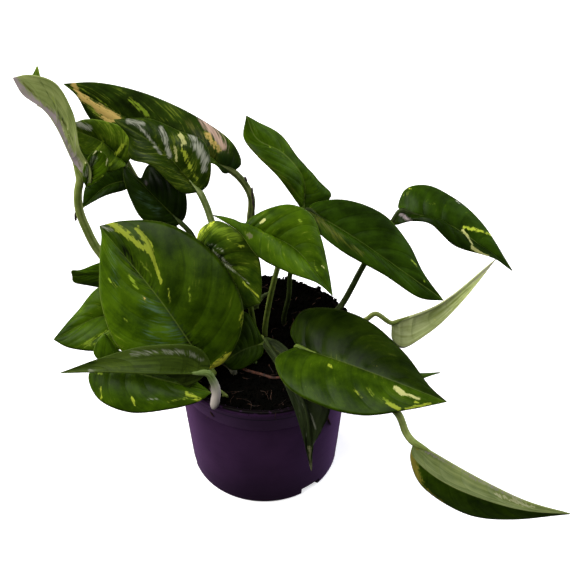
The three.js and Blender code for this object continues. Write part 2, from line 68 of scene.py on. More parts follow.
# Soil
SOIL_EDGE_HEIGHT = 94
SOIL_BACK_HEAP = 6
SOIL_LUMP = 0.9
SOIL_BEVEL = {"out": 3, "height": 7}
SOIL_CLEAR = 0.3  # of the pot's floor and wall, under the surface
SOIL_EDGE_CLEAR = 0.15
SOIL_RINGS, SOIL_SIDES = 90, 240
STALK_DEPTH = 12
UPRIGHT_OVER_SOIL, SHEATH_UPRIGHT = 7, 2

# Crumbs and fibres of peat. A pair is the least and how much more there may be at random.
SPREAD_CRUMBS, BACK_CRUMBS, CRUMBS_ROUND_A_FOOT = 1900, 520, 18
FROM_FOOT = (2, 1.8)
BACK_DEGREES, BACK_OUT = (28, 124), (54, 5.6)
CRUMB_SIZE, LARGER_BANKED = (0.35, 1.3), (0, 0.45)
CORNER_OUT, CRUMB_STRETCH = (0.75, 0.5), (0.6, 0.8)
ON_RIM = (56, 58.2)  # between these radii the crumbs come up onto the rim
CRUMB_SEAT, RIM_SEAT = 0.35, 0.2
CRUMB_MARGIN, FIBRE_MARGIN = 1.2, 4
FIBRES = 110
FIBRE_LENGTH, FIBRE_LIFT, FIBRE_RADIUS = (3, 9), (0.7, 1.2), (0.12, 0.16)
FIBRE_STEPS, FIBRE_SIDES = 9, 3
FIBRE_BOW, FIBRE_END = 0.1, 0.15  # shares of its length and of its radius
ASKEW = (0.31, 0.42, 0.85)  # a direction that no fibre follows

# Leaves
RIB_SWEEP = 1.5  # power of the share at which the straight lines to the margin leave the midrib
CUP = 3
RIB_GRIP = 0.14  # share of the midrib that the stalk's end follows inside the blade
CLUB_END, CLUB_NARROWING = 0.15, 0.8
BLADE_ROWS = 132
HALF_COLUMNS = 26
COLUMN_CROWDING = 1.5
HALF_THICKNESS = 0.3
BLUNT_ENDS, BLUNT_MARGINS = 40, 10  # powers: the higher, the nearer to the edge the blade thins
SIDE_VEINS = 7
VEIN_ARCH, ARCH_POWER = 0.2, 1.5
FURROW, FURROW_START = 0.02, 0.15  # a side vein's depth and where it starts, as shares of the half width
MARGIN_WAVE = {"height": 0.5, "count": 2.3, "shift": 0.37, "lean": 0.3}
GROOVE = {"depth": 0.3, "width": 0.9}
RIB_RIDGE = {"height": 0.8, "width": 1.1, "taper": 0.85}
RIB_END = 0.3
STALK_RINGS, BAR_SIDES, STUB_RINGS = 72, 14, 40
# The light of a half is its painted shade, a factor on the blade's colour.
HALVES_MEET = 0.2  # share of each half within which its light goes over into the other's
STREAK_REACH = 0.8  # of a streak's width, where its paint ends

# Stage
FRAME_PIXELS = 584
FOCAL_PIXELS = 1700
SENSOR = 36
LOOK_DOWN = 43
EYE = (0.018, -0.755, 0.847)
STAGE_REACH = 12
FLOOR_GLOW = 0.6
AIR_STRENGTH = 0.04
WHITE, BLACK = (1, 1, 1, 1), (0, 0, 0, 1)
# Far soft lights: strength, apparent width in degrees, where from, colour.
SOFT_LIGHTS = [
    ("light_over", 3.4, 50, (-0.45, -0.4, 1), (1, 1, 0.97)),
    ("light_left", 8.0, 60, (-1, 0.6, 0.12), (1, 0.92, 0.96)),
    ("light_right", 6.5, 70, (1, 0.55, 0.12), (0.85, 0.86, 1)),
]

# Paints of a leaf's tone: deep and fresh green of the upper face, dull and pale of the under face, dark and
# pale of the stalk, and the share of yellow-green flecks.
TONES = {
    "bright": ("243a04", "4c6a08", "3d4e1c", "6c7c3c", "44581c", "77863c", 0.05),
    "mid": ("223604", "466408", "35451c", "61713a", "44581c", "74823c", 0.03),
    "dark": ("152402", "304a06", "28331c", "505e36", "161e0a", "3a4620", 0.0),
    "marbled": ("1e3006", "3f580c", "4a5830", "7f8c5c", "5c6c34", "949e68", 0.12),
    "yellow": ("1e3406", "4c6410", "465024", "7a8446", "44581c", "74823c", 0.1),
    "streaky": ("2c4208", "5a7614", "35451c", "61713a", "2c3815", "62683a", 0.14),
    "streaked": ("182406", "38500e", "35451c", "61713a", "2c3815", "62683a", 0.1),
    "pale": ("223604", "466408", "6a7c3c", "acb86e", "5d6e2c", "8b9454", 0.0),
    # The next tone is the pale one made lighter, with painted light on it.
    "pale_with_painted_light": ("2c4208", "5a7614", "88964c", "d0d89e", "5d6e2c", "8b9454", 0.0),
    "folded": ("243a04", "4c6a08", "35480f", "66802a", "42581f", "72844a", 0.0),
}
# The dark foot paint darkens each stalk towards the peat, and is painted shade on the club's hidden foot.
FLECK_PAINT, HALO_PAINT, RIB_PAINT, DARK_FOOT_PAINT = "8a9a30", "86992e", "7d9140", "1a1608"
# The lower end of a stalk: its paint, and between which shares of the length it comes in. The club is pale.
STALK_FOOT, CLUB_FOOT = (DARK_FOOT_PAINT, 0.78, 0.96), ("c9bcb8", 0.35, 0.75)
# The foot paint is painted shade, laid on the pot towards the floor.
POT_PAINTS = {
    "deep": "36203d", "clouded": "43294a", "scuffed": "54395e",
    "foot": "150c18", "dirt": "080504", "sheen": "b48cc8",
}
PEAT_PAINTS = ("010100", "0c0704")
FIBRE_PAINTS = {  # dark and light
    "peat_fibre": ("160d08", "4a3020"),
    "rootlet": ("1a0e0a", "4a2c20"),
    "root_bark": ("24120c", "5c3524"),
    "dried_sheath_skin": ("120a0c", "3a282e"),
    "green_tip_skin": ("3c4a16", "7c8a3c"),
    "old_sheath_left_skin": ("4a4a38", "9a9a84"),
    "old_sheath_back_skin": ("2c3812", "55602c"),
    "cut_stub_skin": ("4f6a2a", "9aac66"),
}
LEAF_GLOSS, POT_GLOSS, PEAT_GLOSS = 0.07, 0.08, 0.05  # specular levels

# Between which millimetres the painted shade at the foot and the peat on the pot come in, in height, to the
# back or out from the middle.
POT_MARKS = {
    "painted_shade_at_foot": (-20, 55), "dust": (60, 100), "lip": (97.5, 99.2), "back": (5, 40), "back_lip": (94, 97),
    "past_inside": (58.4, 58.8), "inside_top": (90, 92),
}
# Noise patterns: waves to a metre, detail and roughness
GRAINS = {
    "blotches": (62, 5, 0.62),
    "speckle": (520, 2),
    "leaf_skin": (900, 2),
    "stalk_spots": (260, 3),
    "plastic_clouds": (30, 3),
    "plastic_grain": (1400, 2),
    "scuffs": (70, 4, 0.7),
    "dust": (700, 2),
    "smears": (260, 3),
    "peat_specks": (900, 3),
    "peat_clumps": (120, 3),
    "fibre_spots": (400, 3),
    "paper_clouds": (2, 2),
}
SCUFF_FLATTENING = 9
# Noise along a leaf's side veins: waves across a half blade and along it, a shift from leaf to leaf,
# another from half to half, and detail.
VEIN_STREAKS, FINE_STREAKS = (1.5, 24, 3.1, 0.5, 3), (5, 75, 1.7, 1, 2)
BUMPS = {"upper": 0.12, "under": 0.2, "stalk": 0.3, "pot": 0.08, "peat": 0.8, "fibre": 0.2}  # millimetres

# The lobe at the upper left leaf's foot that curls forward and shows its upper face
CURLED_LOBE = {
    "cup": 1,
    "light": 1.2,
    "seed": 3,
    "rib": [[-104.5, 28.5, 202], [-101.5, 29.5, 213], [-95, 29, 229]],
    "left": [[-106, 28, 209], [-104.5, 27.5, 219], [-101, 28, 226], [-98, 28.5, 229]],
    "right": [[-100, 27, 205], [-94.5, 27, 210], [-90.5, 27, 217], [-90, 28, 223], [-92, 28.5, 228]],
    "streaks": {
        "straw": [
            (0.98, 0.12, 0.98, 0.4, 0.8, 1.1), (0.98, 0.4, 0.98, 0.7, 0.8, 1.1),
            (0.98, 0.7, 0.96, 0.94, 0.8, 1.1), (-0.98, 0.12, -0.98, 0.5, 0.8, 1.1),
            (-0.98, 0.5, -0.96, 0.9, 0.8, 1.1),
        ],
        # The pale silver wash is a painted highlight.
        "painted_highlight": [(-0.5, 0.35, -0.4, 0.8, 4, 0.5)], "lime": [(0.2, 0.35, 0.9, 0.4, 1.6, 0.6)],
    },
}

# Threads that cling to the plant: start, end, bow and radius
RIM_ROOTLETS = [  # on the pot's wall, by degrees and height
    ((-129, 87), (-127, 83.5), 0.5, 0.25),
    ((-127, 83.5), (-131, 73.5), 0.8, 0.22),
    ((-123.5, 88.5), (-122, 82.5), 0.1, 0.75),
    ((-91, 100), (-88, 96), 0.5, 0.3),
    ((-82, 100), (-81, 90), 0.5, 0.25),
    ((-64, 99), (-61, 92), 0.5, 0.2),
    ((-44, 80), (-41, 66), 0.1, 0.9),
    ((-41, 69), (-36, 57), 0.2, 0.7),
]
DRIED_SHEATH = [  # three on the top leaf's stalk, one on the upper left leaf's
    ((-6.3, 46, 188), (-5.6, 45.6, 177), 0.2, 0.7),
    ((-5.7, 45.8, 179), (-5.2, 43.6, 166), 0.2, 0.9),
    ((-10.7, 48, 194), (-9.3, 47, 190.5), 0, 0.8),
    ((-112.4, 27, 184), (-112.9, 27, 176.5), 0, 0.9),
]
GREEN_TIPS = [  # on the peat behind the club
    ((-27, -41, 99.8), (-20.5, -45, 97.5), 0.2, 1.2),
    ((-24.5, -45, 99), (-21, -43, 96.5), 0.2, 0.9),
]

# Short leftovers of old leaves, and the root on the peat
OLD_SHEATHS = {
    "old_sheath_left": {"path": [[-27, -21, 104], [-23, -21, 102]], "soil": [-18, -22], "thick": [1.2, 3.2]},
    "old_sheath_back": {"path": [[4, 37, 108], [-1, 36, 105]], "soil": [-5, 33], "thick": [0.9, 2.8]},
    "cut_stub": {"path": [[-6, -10, 101]], "soil": [-5, -12], "thick": [1, 1.7]},
}
SURFACE_ROOT = {
    "path": [[-14, -19], [-6, -21], [0, -25], [6, -27], [11, -26]],
    "thick": [1.0, 0.8],
    "lift": 1.7,
}

# Paints on the blades: ragged streaks that are in the leaf, and soft washes. The brightest yellow streak has
# painted light on it. Of the washes, the pale silver one is a painted highlight, the lavender one and the
# blue-green one are painted sheen, the light green one is painted light on shaded parts, and the near black one
# is painted shade.
STREAK_PAINTS = {
    "yellow": "b8c83c", "lemon": "dcdc8c", "lime": "8aa62c", "tan": "d8b866",
    "ochre": "a0963a", "yellow_with_painted_light": "eef04e", "straw": "c4c690", "ash": "6c6e4a",
}
WASH_PAINTS = {
    "painted_lilac_sheen": "a89a9c", "painted_highlight": "ced0ba", "pink": "dab8a2", "blush": "cdbcbe", "sheen": "54705a",
    "olive": "5c6122", "moss": "1d3410", "shade": "0c1402", "painted_lit_green": "6c8620",
}

# Each leaf by its points: the same table as the imported solids', with its painted light, a factor for the left
# and the right half that darkens the blade's colour as painted shade, and the streaks on the blade, by paint. A
# streak runs from [side, share] to [side, share], side from -1 at the left margin to 1 at the right one and
# share from stalk to tip; then come its width and its strength.
LEAVES = {
    "upper_left": {
        "tone": "pale", "light": (0.64, 0.6), "cup": 1.5,
        "rib": [
            [-108, 30, 208], [-114.5, 36, 225.5], [-120, 41, 237],
            [-127, 46.5, 245], [-140, 54, 251], [-146, 60, 259],
        ],
        "left": [
            [-103, 28, 202], [-100, 26, 218], [-106, 28, 232],
            [-109, 36, 251], [-118, 46, 265], [-135, 56, 264],
        ],
        "right": [
            [-102, 34, 200], [-92, 40, 209], [-96, 43, 216],
            [-104, 44.5, 213], [-113, 48, 233], [-118, 53, 249],
            [-129, 59, 258], [-131, 62, 266], [-135, 61, 260],
        ],
        "stalk": [
            [-110, 28, 197], [-110, 27, 185], [-107, 26, 172],
            [-100, 25, 153], [-71, 17, 120], [-36, 11, 110],
        ],
        "soil": [-26, 9], "thick": [2.5, 3.3],
        "streaks": {
            # The lavender washes are painted sheen.
            "painted_lilac_sheen": [
                (-0.5, 0.99, -0.05, 0.88, 7, 1.2), (-0.05, 0.88, -0.12, 0.65, 8, 1.2),
                (-0.12, 0.65, -0.1, 0.29, 6, 1.2), (-0.81, 0.48, -0.19, 0.3, 1.6, 0.7),
            ],
            "olive": [(-0.55, 0.9, -0.4, 0.55, 2.2, 0.8), (-0.4, 0.55, -0.3, 0.25, 2.2, 0.8)],
            "moss": [(-0.85, 0.8, -0.75, 0.35, 2, 0.6)],
            "straw": [
                (-0.3, 0.62, -0.1, 0.4, 1.6, 0.6), (-0.61, 0.58, -0.2, 0.45, 1.6, 0.6),
                (0.98, 0.2, 0.98, 0.33, 1.4, 0.8),
            ],
            "lime": [(-0.51, 0.71, -0.42, 0.67, 2, 0.6), (0.95, 0.8, 0.9, 0.72, 2.4, 0.9)],
            # The light green washes are painted light on the shaded flap and on the lobe.
            "painted_lit_green": [(0.9, 0.76, 0.8, 0.75, 5, 1), (0.95, 0.1, 0.9, 0.34, 7, 1)],
            "blush": [(-0.05, 0.28, -0.5, 0.06, 9, 1.3)],
        },
    },
    "top_long": {
        "tone": "streaked", "light": (0.72, 0.66),
        "rib": [[-18, 55, 192], [-68, 68, 214], [-119, 72, 246]],
        "left": [[-23, 52, 193], [-30, 50, 202], [-74, 54, 204], [-102, 62, 225], [-111, 68, 240]],
        "right": [[-13, 58, 196], [-18, 66, 206], [-41, 78, 217], [-73, 80, 234], [-99, 76, 244]],
        "stalk": [[-11, 52, 185], [-7, 48, 177], [-8, 44, 161], [-8.5, 38, 133]],
        "soil": [-12, 35], "thick": [2.2, 2.4],
        "streaks": {
            "tan": [
                (0.66, 0.95, -0.82, 0.83, 3.3, 1), (-0.82, 0.83, -0.57, 0.76, 5, 1),
                (-0.6, 0.76, -0.38, 0.7, 7.5, 1), (-0.62, 0.72, -0.69, 0.66, 5, 1),
                (0.69, 0.42, 0.53, 0.32, 4, 0.7),
            ],
            "lime": [
                (-0.82, 0.77, -0.79, 0.71, 3, 0.5), (0.55, 0.92, 0.09, 0.81, 1.2, 0.7),
                (0.64, 0.71, 0.4, 0.64, 4, 0.5),
            ],
            "pink": [(1.0, 0.47, 0.85, 0.41, 6.5, 1), (0.85, 0.41, 0.69, 0.33, 6.5, 1)],
            "olive": [(0.71, 0.5, 0.24, 0.29, 6, 0.5)], "moss": [(0.43, 0.27, 0.75, 0.1, 9, 0.6)],
        },
    },
    "glossy_marbled": {
        "tone": "marbled", "light": (0.5, 0.55),
        "rib": [[-37, 25, 201], [-60, 36, 225], [-87, 46, 239]],
        "left": [[-46, 20, 204], [-55, 22, 211], [-66, 28, 219], [-78, 34, 220], [-79, 42, 229]],
        "right": [[-32, 27, 204], [-30, 32, 216], [-34, 38, 229], [-50, 44, 233], [-67, 48, 238]],
        "stalk": [[-33, 23, 191], [-30, 21, 180], [-17, 14, 132]],
        "soil": [-15, 14], "thick": [2.1, 2.2],
        "streaks": {
            # The pale silver washes are painted highlights between the side veins.
            "painted_highlight": [
                (0.61, 0.92, 0.58, 0.84, 3.4, 0.8), (0.6, 0.88, 0.15, 0.77, 2.6, 0.8),
                (0.24, 0.8, -0.11, 0.61, 2.2, 0.75), (0.75, 0.74, 0.46, 0.68, 3.2, 1),
                (0.46, 0.68, 0.05, 0.56, 3.4, 1), (0.98, 0.58, 0.8, 0.48, 4.5, 0.9),
                (0.79, 0.51, 0.83, 0.39, 6, 1), (0.8, 0.41, 0.73, 0.32, 4, 0.9),
            ],
            "lemon": [(0.84, 0.63, 0.62, 0.57, 3.6, 1), (0.38, 0.59, 0.11, 0.5, 1.8, 0.8)],
            "yellow": [(0.45, 0.54, 0.33, 0.4, 3.6, 0.6), (0.34, 0.42, 0.34, 0.28, 3.6, 0.5)],
        },
    },
    "left_streaked": {
        "tone": "streaky", "slot": "dark", "cup": 2,
        "rib": [[-84, 54, 197], [-95, 55, 214], [-117, 56, 226]],
        "left": [[-83, 48, 202], [-94, 45, 200], [-106, 48, 208]],
        "right": [[-77, 54, 210], [-79, 56, 222], [-92, 58, 228], [-106, 58, 230]],
        "stalk": [[-84, 66, 193], [-84, 73, 184], [-78, 72, 170], [-50, 56, 136]],
        "soil": [-22, 41], "thick": [1.6, 1.9],
        "streaks": {
            "lime": [
                (0.96, 0.4, 0.59, 0.38, 2.6, 0.9), (-0.04, 0.38, -0.69, 0.5, 3, 0.8),
                (-0.41, 0.67, 0.11, 0.6, 2.4, 0.5),
            ],
            # The pale silver wash is a painted highlight.
            "yellow": [(0.59, 0.38, -0.04, 0.38, 3, 0.9)], "painted_highlight": [(0.75, 0.86, 0.51, 0.76, 4, 0.9)],
        },
    },
    "left_shaded": {
        "tone": "dark", "light": (0.7, 0.9), "cup": 1.5,
        "rib": [[-82, 60, 182], [-97, 58, 178], [-112, 50, 167]],
        "left": [[-84, 56, 178], [-98, 52, 175]],
        "right": [[-83, 66, 188], [-98, 66, 188], [-109, 58, 180]],
        "stalk": [[-69, 58, 163], [-47, 48, 130]],
        "soil": [-34, 33], "thick": [1.6, 1.9],
        "streaks": {},
    },
    "dark_back": {
        "tone": "dark", "light": (0.4, 0.2),
        "rib": [[-50, 34, 169], [-65, 42, 182], [-84, 50, 201]],
        "left": [[-55, 32, 167], [-72, 32, 172], [-80, 38, 185], [-84, 44, 196]],
        "right": [[-47, 38, 171], [-47.5, 46, 184], [-58, 54, 196], [-69, 56, 197], [-75.5, 52, 188]],
        "stalk": [[-45, 33, 163], [-42, 32, 157], [-27, 26, 112]],
        "soil": [-22, 26], "thick": [1.6, 1.8],
        "streaks": {
            # The lavender wash is a painted highlight, and the blue-green one is painted sheen.
            "painted_lilac_sheen": [(1.0, 0.8, 0.19, 0.73, 2.6, 0.8)], "sheen": [(-0.6, 0.62, -0.32, 0.42, 7, 0.35)],
        },
    },
    "upper_centre": {
        "tone": "mid", "light": (0.8, 0.8),
        "rib": [[24, 30, 183], [25, 37, 200], [13, 41, 217], [-3, 42, 228], [-9, 46, 242]],
        "left": [[20.5, 28, 190.5], [10, 28, 209.5], [-3, 34, 221.5], [-10.5, 42, 228]],
        "right": [[34, 33, 183], [42, 38, 188], [34, 44, 195], [21.5, 50, 204], [11, 54, 222], [-3, 50, 235]],
        "stalk": [[22, 29, 174], [14, 25, 160], [9, 20, 144], [4, 16, 121]],
        "soil": [1, 11], "thick": [1.6, 1.8],
        "streaks": {
            "olive": [
                (-0.95, 0.76, -0.96, 0.57, 3.0, 0.45), (-0.96, 0.57, -0.85, 0.41, 3.2, 0.45),
                (-0.85, 0.41, -0.8, 0.3, 3.0, 0.35),
            ],
            "lime": [(-0.06, 0.75, -0.1, 0.74, 1.1, 1.1), (0.07, 0.67, 0.07, 0.67, 1.0, 0.8)],
            "moss": [(0.35, 0.41, 0.94, 0.23, 8, 0.5)],
        },
    },
    "right_dark": {
        "tone": "dark", "light": (0.85, 0.85),
        "rib": [[27, 16, 195], [54, 10, 179], [109.5, -10, 145]],
        "left": [[30, 20, 196], [50, 26, 194], [73, 24, 185], [88, 14, 170], [97, 2, 158]],
        "right": [[30, 6, 191], [46, -2, 179], [73, -8, 164], [95, -12, 149]],
        "stalk": [[25, 18, 181], [17, 21, 140], [16, 20, 121]],
        "soil": [13, 21], "thick": [1.4, 1.6],
        "streaks": {
            "olive": [
                (0.25, 0.05, 0.26, 0.23, 5, 0.6), (0.43, 0.2, 0.6, 0.38, 6.5, 0.7),
                (0.68, 0.38, 0.7, 0.5, 3.5, 0.5),
            ],
            "lime": [(-0.71, 0.75, -0.76, 0.79, 1.8, 0.6), (-0.5, 0.87, -0.4, 0.88, 1.3, 0.5)],
        },
    },
    "centre_bright": {
        "tone": "bright", "light": (0.86, 0.86), "slot": "mid",
        "rib": [[-11, -3, 197], [18, -6, 185], [42, -24, 162]],
        "left": [[-8, 0, 200], [3, 6, 204], [17, 10, 204], [29, 8, 198], [36, 0, 185], [40, -12, 170]],
        "right": [
            [-20, -6, 204], [-28, -6, 209], [-13, -12, 202],
            [-2, -20, 190], [17, -24, 180], [33, -26, 174],
        ],
        "stalk": [[-10, 5, 184], [-9, 9, 172], [-9, 11, 134]],
        "soil": [-6, 11], "thick": [1.6, 1.8],
        "streaks": {
            "lemon": [(-0.45, 0.26, -0.55, 0.29, 1.5, 1.2), (-0.5, 0.81, -0.6, 0.83, 1.2, 1.1)],
            "lime": [(-0.68, 0.52, -0.68, 0.54, 1.3, 0.9), (-0.21, 0.77, -0.14, 0.82, 1.6, 0.5)],
            # The lavender wash is a painted sheen.
            "painted_lilac_sheen": [(0.98, 0.27, 0.93, 0.1, 2.2, 0.9)], "ash": [(0.93, 0.1, 0.85, 0.47, 3.0, 0.7)],
        },
    },
    "right_top": {
        "tone": "dark", "light": (0.95, 0.45),
        "rib": [[85, 41, 173], [114, 36, 166], [155, 24, 138]],
        "left": [[83, 46, 172], [88, 54, 179], [103, 58, 179], [119, 54, 172], [136.5, 42, 160.5]],
        "right": [[81, 36, 166], [91, 34, 170], [102, 32, 170], [118, 26, 157], [141, 22, 151]],
        "stalk": [[80, 41, 164], [64, 34, 137], [48, 24, 107]],
        "soil": [38, 16], "thick": [1.6, 2.1],
        "streaks": {
            # The pale silver wash is a painted highlight.
            "blush": [(0.95, 0.03, 0.97, 0.32, 2.8, 1)], "painted_highlight": [(-0.88, 0.66, -0.9, 0.95, 1.8, 0.7)],
            "yellow": [
                (-0.85, 0.29, -0.93, 0.36, 2.0, 0.9), (-0.15, 0.64, -0.41, 0.76, 2.4, 0.9),
                (-0.41, 0.76, -0.97, 0.87, 2.2, 0.9),
            ],
            "lemon": [
                (-0.06, 0.63, 0.09, 0.68, 2.0, 1.1), (0.09, 0.68, 0.74, 0.73, 2.0, 1.1),
                (0.74, 0.73, 1.0, 0.78, 2.4, 1.1), (1.0, 0.77, 1.0, 0.81, 1.8, 1.2),
            ],
            "lime": [(-0.38, 0.42, -0.42, 0.45, 1.8, 0.4)],
        },
    },
    "right_pale": {
        # Its tone is the pale one lightened by painted light.
        "tone": "pale_with_painted_light", "slot": "pale", "light": (1, 0.5), "cup": 1.5,
        "rib": [[80, 6, 111], [108, 8, 124], [141, 8, 162.5]],
        "left": [[81, 4, 98], [87, 2, 93], [103, 2, 106], [123.5, 4, 132.5]],
        "right": [[87, 16, 90], [106.5, 24, 94], [129.5, 18, 131.5]],
        "stalk": [[70, 8, 117], [64, 9, 111], [53, 11, 105]],
        "soil": [30, 11], "thick": [1.5, 1.7],
        "streaks": {
            # The pale silver wash is a painted highlight, and the lavender ones are painted sheen.
            "painted_highlight": [(0.74, 0.18, 0.07, 0.35, 3.2, 0.6)], "lemon": [(0.45, 0.44, -0.54, 0.58, 1.5, 1)],
            "painted_lilac_sheen": [(0.0, 0.56, 0.12, 0.78, 3, 0.6), (0.12, 0.78, -1.0, 0.99, 3, 0.8)],
        },
    },
    "right_front": {
        "tone": "bright", "light": (0.19, 0.58),
        "rib": [[21, -28, 124], [52, -46, 127], [109, -70, 120]],
        "left": [
            [17, -14, 124], [24, -6, 133], [41, -6, 135],
            [64, -16, 134], [85, -36, 128], [100, -58, 120],
        ],
        "right": [[8, -44, 129], [14, -60, 124], [33, -72, 120], [59, -78, 117], [87, -76, 120]],
        "stalk": [[22, -26, 117]],
        "soil": [22, -18], "thick": [1.7, 1.9],
        "streaks": {
            "lemon": [
                (0.21, 0.77, 0.38, 0.8, 3.6, 1.1), (0.38, 0.8, 0.54, 0.87, 2.4, 1),
                (0.46, 0.52, 0.46, 0.52, 0.9, 1),
            ],
            "yellow": [
                (0.5, 0.6, 0.64, 0.65, 1.8, 0.8), (0.73, 0.75, 0.9, 0.79, 2.6, 1),
                (0.95, 0.82, 0.83, 0.92, 2.0, 1), (0.71, 0.85, 0.76, 0.87, 1.8, 0.8),
                (0.18, 0.42, 0.23, 0.45, 1.8, 0.7),
            ],
            "lime": [(0.6, 0.73, 0.75, 0.77, 2, 0.5), (0.4, 0.65, 0.58, 0.69, 2.4, 0.35)],
            "tan": [(-0.14, 0.64, -0.21, 0.67, 1.3, 0.9)],
        },
    },
    "right_sliver": {
        "tone": "dark", "cup": 0.5,
        "rib": [[75, -32, 96], [91, -35, 105], [108, -36, 110]],
        "left": [[79, -22, 91], [93, -24, 96]],
        "right": [[76, -42, 103], [90, -46, 112]],
        "stalk": [[68, -30, 102], [56, -24, 107]],
        "soil": [42, -14], "thick": [1.2, 1.4],
        "streaks": {},
    },
    "lower_right": {
        "tone": "pale", "light": (0.42, 0.7), "cup": 2,
        "rib": [[90, -78, 94], [130, -90, 74], [160, -94, 58], [187, -95, 48]],
        "left": [[89, -86, 92], [99, -98, 88], [120, -104, 79], [154, -102, 60]],
        "right": [[89, -76, 76], [98, -80, 55], [125, -84, 34], [154, -90, 37]],
        "stalk": [[86, -74, 97], [80, -69, 110], [65, -60, 115], [41, -42, 111]],
        "soil": [30, -34], "thick": [2.2, 2.3],
        "streaks": {
            "ochre": [
                (0.5, 0.08, 0.92, 0.2, 7, 1.2), (0.92, 0.2, 0.98, 0.34, 8, 1.2),
                (0.98, 0.34, 0.98, 0.5, 3.4, 1),
            ],
            # The lavender washes are painted sheen.
            "painted_lilac_sheen": [(-0.1, 0.17, -0.05, 0.57, 3.0, 0.6), (-0.05, 0.57, -0.05, 0.79, 3.0, 0.7)],
            "straw": [(-0.3, 0.68, -0.3, 0.84, 4.2, 0.6)],
        },
    },
    "left_front_big": {
        "tone": "bright", "light": (0.88, 0.54),
        "rib": [[-33, -32, 108], [-60, -16, 150], [-97, 14, 184]],
        "left": [
            [-50, -34, 112], [-74, -30, 111], [-88, -22, 119],
            [-98, -6, 142], [-98, 6, 164], [-96, 12, 178],
        ],
        "right": [
            [-24, -32, 114], [-14, -28, 131], [-11, -22, 152], [-19, -12, 170],
            [-34, 0, 182], [-58, 10, 190], [-83, 14, 188],
        ],
        "stalk": [[-30, -30, 103]],
        "soil": [-34, -22], "thick": [1.9, 2.1],
        "streaks": {
            "yellow": [
                (0.99, 0.94, 0.6, 0.85, 4.5, 1), (0.6, 0.85, 0.45, 0.75, 3.6, 1),
                (0.45, 0.75, 0.19, 0.66, 2.4, 1), (0.8, 0.82, 0.54, 0.76, 3.4, 0.9),
                (0.21, 0.62, 0.1, 0.58, 2.0, 0.8), (0.98, 0.3, 0.98, 0.36, 2.2, 0.9),
            ],
            "lime": [
                (0.2, 0.77, 0.15, 0.7, 1.4, 0.5), (0.46, 0.57, 0.36, 0.52, 1.6, 0.45),
                (-0.79, 0.66, -0.65, 0.64, 2.4, 0.6), (-0.31, 0.72, -0.27, 0.66, 2.4, 0.7),
                (-0.68, 0.52, -0.65, 0.49, 1.8, 0.6),
            ],
            # The brightest yellow streak has painted light on it, and the pale silver wash is a painted
            # highlight.
            "yellow_with_painted_light": [(0.94, 0.03, 0.96, 0.18, 5, 1.2)], "painted_highlight": [(0.79, 0.98, 0.6, 0.93, 3, 0.6)],
            "tan": [(-0.25, 0.63, -0.24, 0.6, 2, 0.4)],
            # The blue-green washes are painted sheen.
            "sheen": [
                (-0.2, 0.6, -0.12, 0.4, 13, 0.36), (-0.45, 0.45, -0.35, 0.3, 12, 0.3),
                (-0.5, 0.85, -0.7, 0.6, 8, 0.2),
            ],
            # Painted shade along the right of the midrib, where the blade folds.
            "shade": [(0.12, 0.85, 0.1, 0.2, 10, 0.8)],
        },
    },
    "front_folded": {
        "tone": "folded", "slot": "pale", "light": (0.45, 0.45), "cup": 1.5,
        "rib": [[-32, -55, 129], [-66, -59, 133], [-96, -54, 129], [-120, -50, 124]],
        "left": [[-30, -54, 136], [-38, -52, 148], [-65, -50, 147], [-96, -50, 136]],
        "right": [[-37, -53, 121], [-46, -53, 115], [-56, -46, 121], [-90, -47, 127]],
        "stalk": [[-29, -55, 123], [-27, -56, 115], [-29, -57, 101]],
        "foot": [[-27, -57, 107], [-28, -50, 106], [-30, -42, 103]],
        "foot_soil": [-31, -37], "foot_radius": 2.1, "thick": [2, 3],
        "streaks": {
            "moss": [(-0.97, 0.85, -0.98, 0.15, 2.2, 0.9)],
            # The pale silver washes are painted highlights on the upper part and along the midrib.
            "painted_highlight": [
                (-0.78, 0.66, -0.74, 0.56, 4.4, 0.5), (-0.74, 0.52, -0.72, 0.44, 4.6, 0.5),
                (-0.72, 0.4, -0.74, 0.34, 4.4, 0.45), (-0.74, 0.3, -0.76, 0.28, 3.2, 0.5),
                (-0.06, 0.85, -0.06, 0.1, 2.4, 0.9),
            ],
            # The light green wash is painted light on the upper half.
            "painted_lit_green": [(-0.5, 0.8, -0.55, 0.15, 9, 0.35)],
        },
    },
    "front_round": {
        "tone": "mid", "light": (0.82, 0.86),
        "rib": [[-97, -38, 121], [-73, -44, 117], [-30, -53, 110]],
        "left": [[-101, -34, 125], [-93, -36, 143], [-85, -29, 120], [-61, -36, 117], [-42, -46, 115]],
        "right": [[-104, -44, 116], [-98, -54, 106], [-80, -60, 100], [-56, -60, 103], [-37, -57, 107]],
        "stalk": [[-95, -34, 117], [-81, -26, 109], [-57, -22, 103]],
        "soil": [-38, -14], "thick": [1.6, 1.9],
        "streaks": {
            "yellow": [
                (0.5, 0.8, 1.0, 0.84, 3.2, 0.8), (0.61, 0.5, 0.76, 0.52, 1.6, 1),
                (0.74, 0.3, 0.93, 0.35, 1.8, 0.8),
            ],
            "lime": [(1.0, 0.08, 0.46, 0.21, 4, 0.7), (0.76, 0.68, 0.7, 0.78, 2, 0.45)],
            # The pale silver wash is a faint painted highlight.
            "painted_highlight": [(0.61, 0.58, 0.64, 0.63, 1.4, 0.3)],
        },
    },
    "left_low": {
        "tone": "bright", "slot": "mid", "light": (0.76, 0.8),
        "rib": [[-70, 4, 111], [-97, 2, 121], [-129, -10, 112]],
        "left": [[-76, -6, 106], [-100, -16, 108], [-119, -14, 109]],
        "right": [[-76, 12, 128], [-97, 12, 138], [-115, 4, 123]],
        "stalk": [[-61, 5, 106]],
        "soil": [-40, 0], "thick": [1.6, 1.8],
        "streaks": {
            "lime": [
                (-0.79, 0.64, -0.61, 0.58, 2.2, 0.55), (-0.61, 0.58, -0.44, 0.52, 2, 0.5),
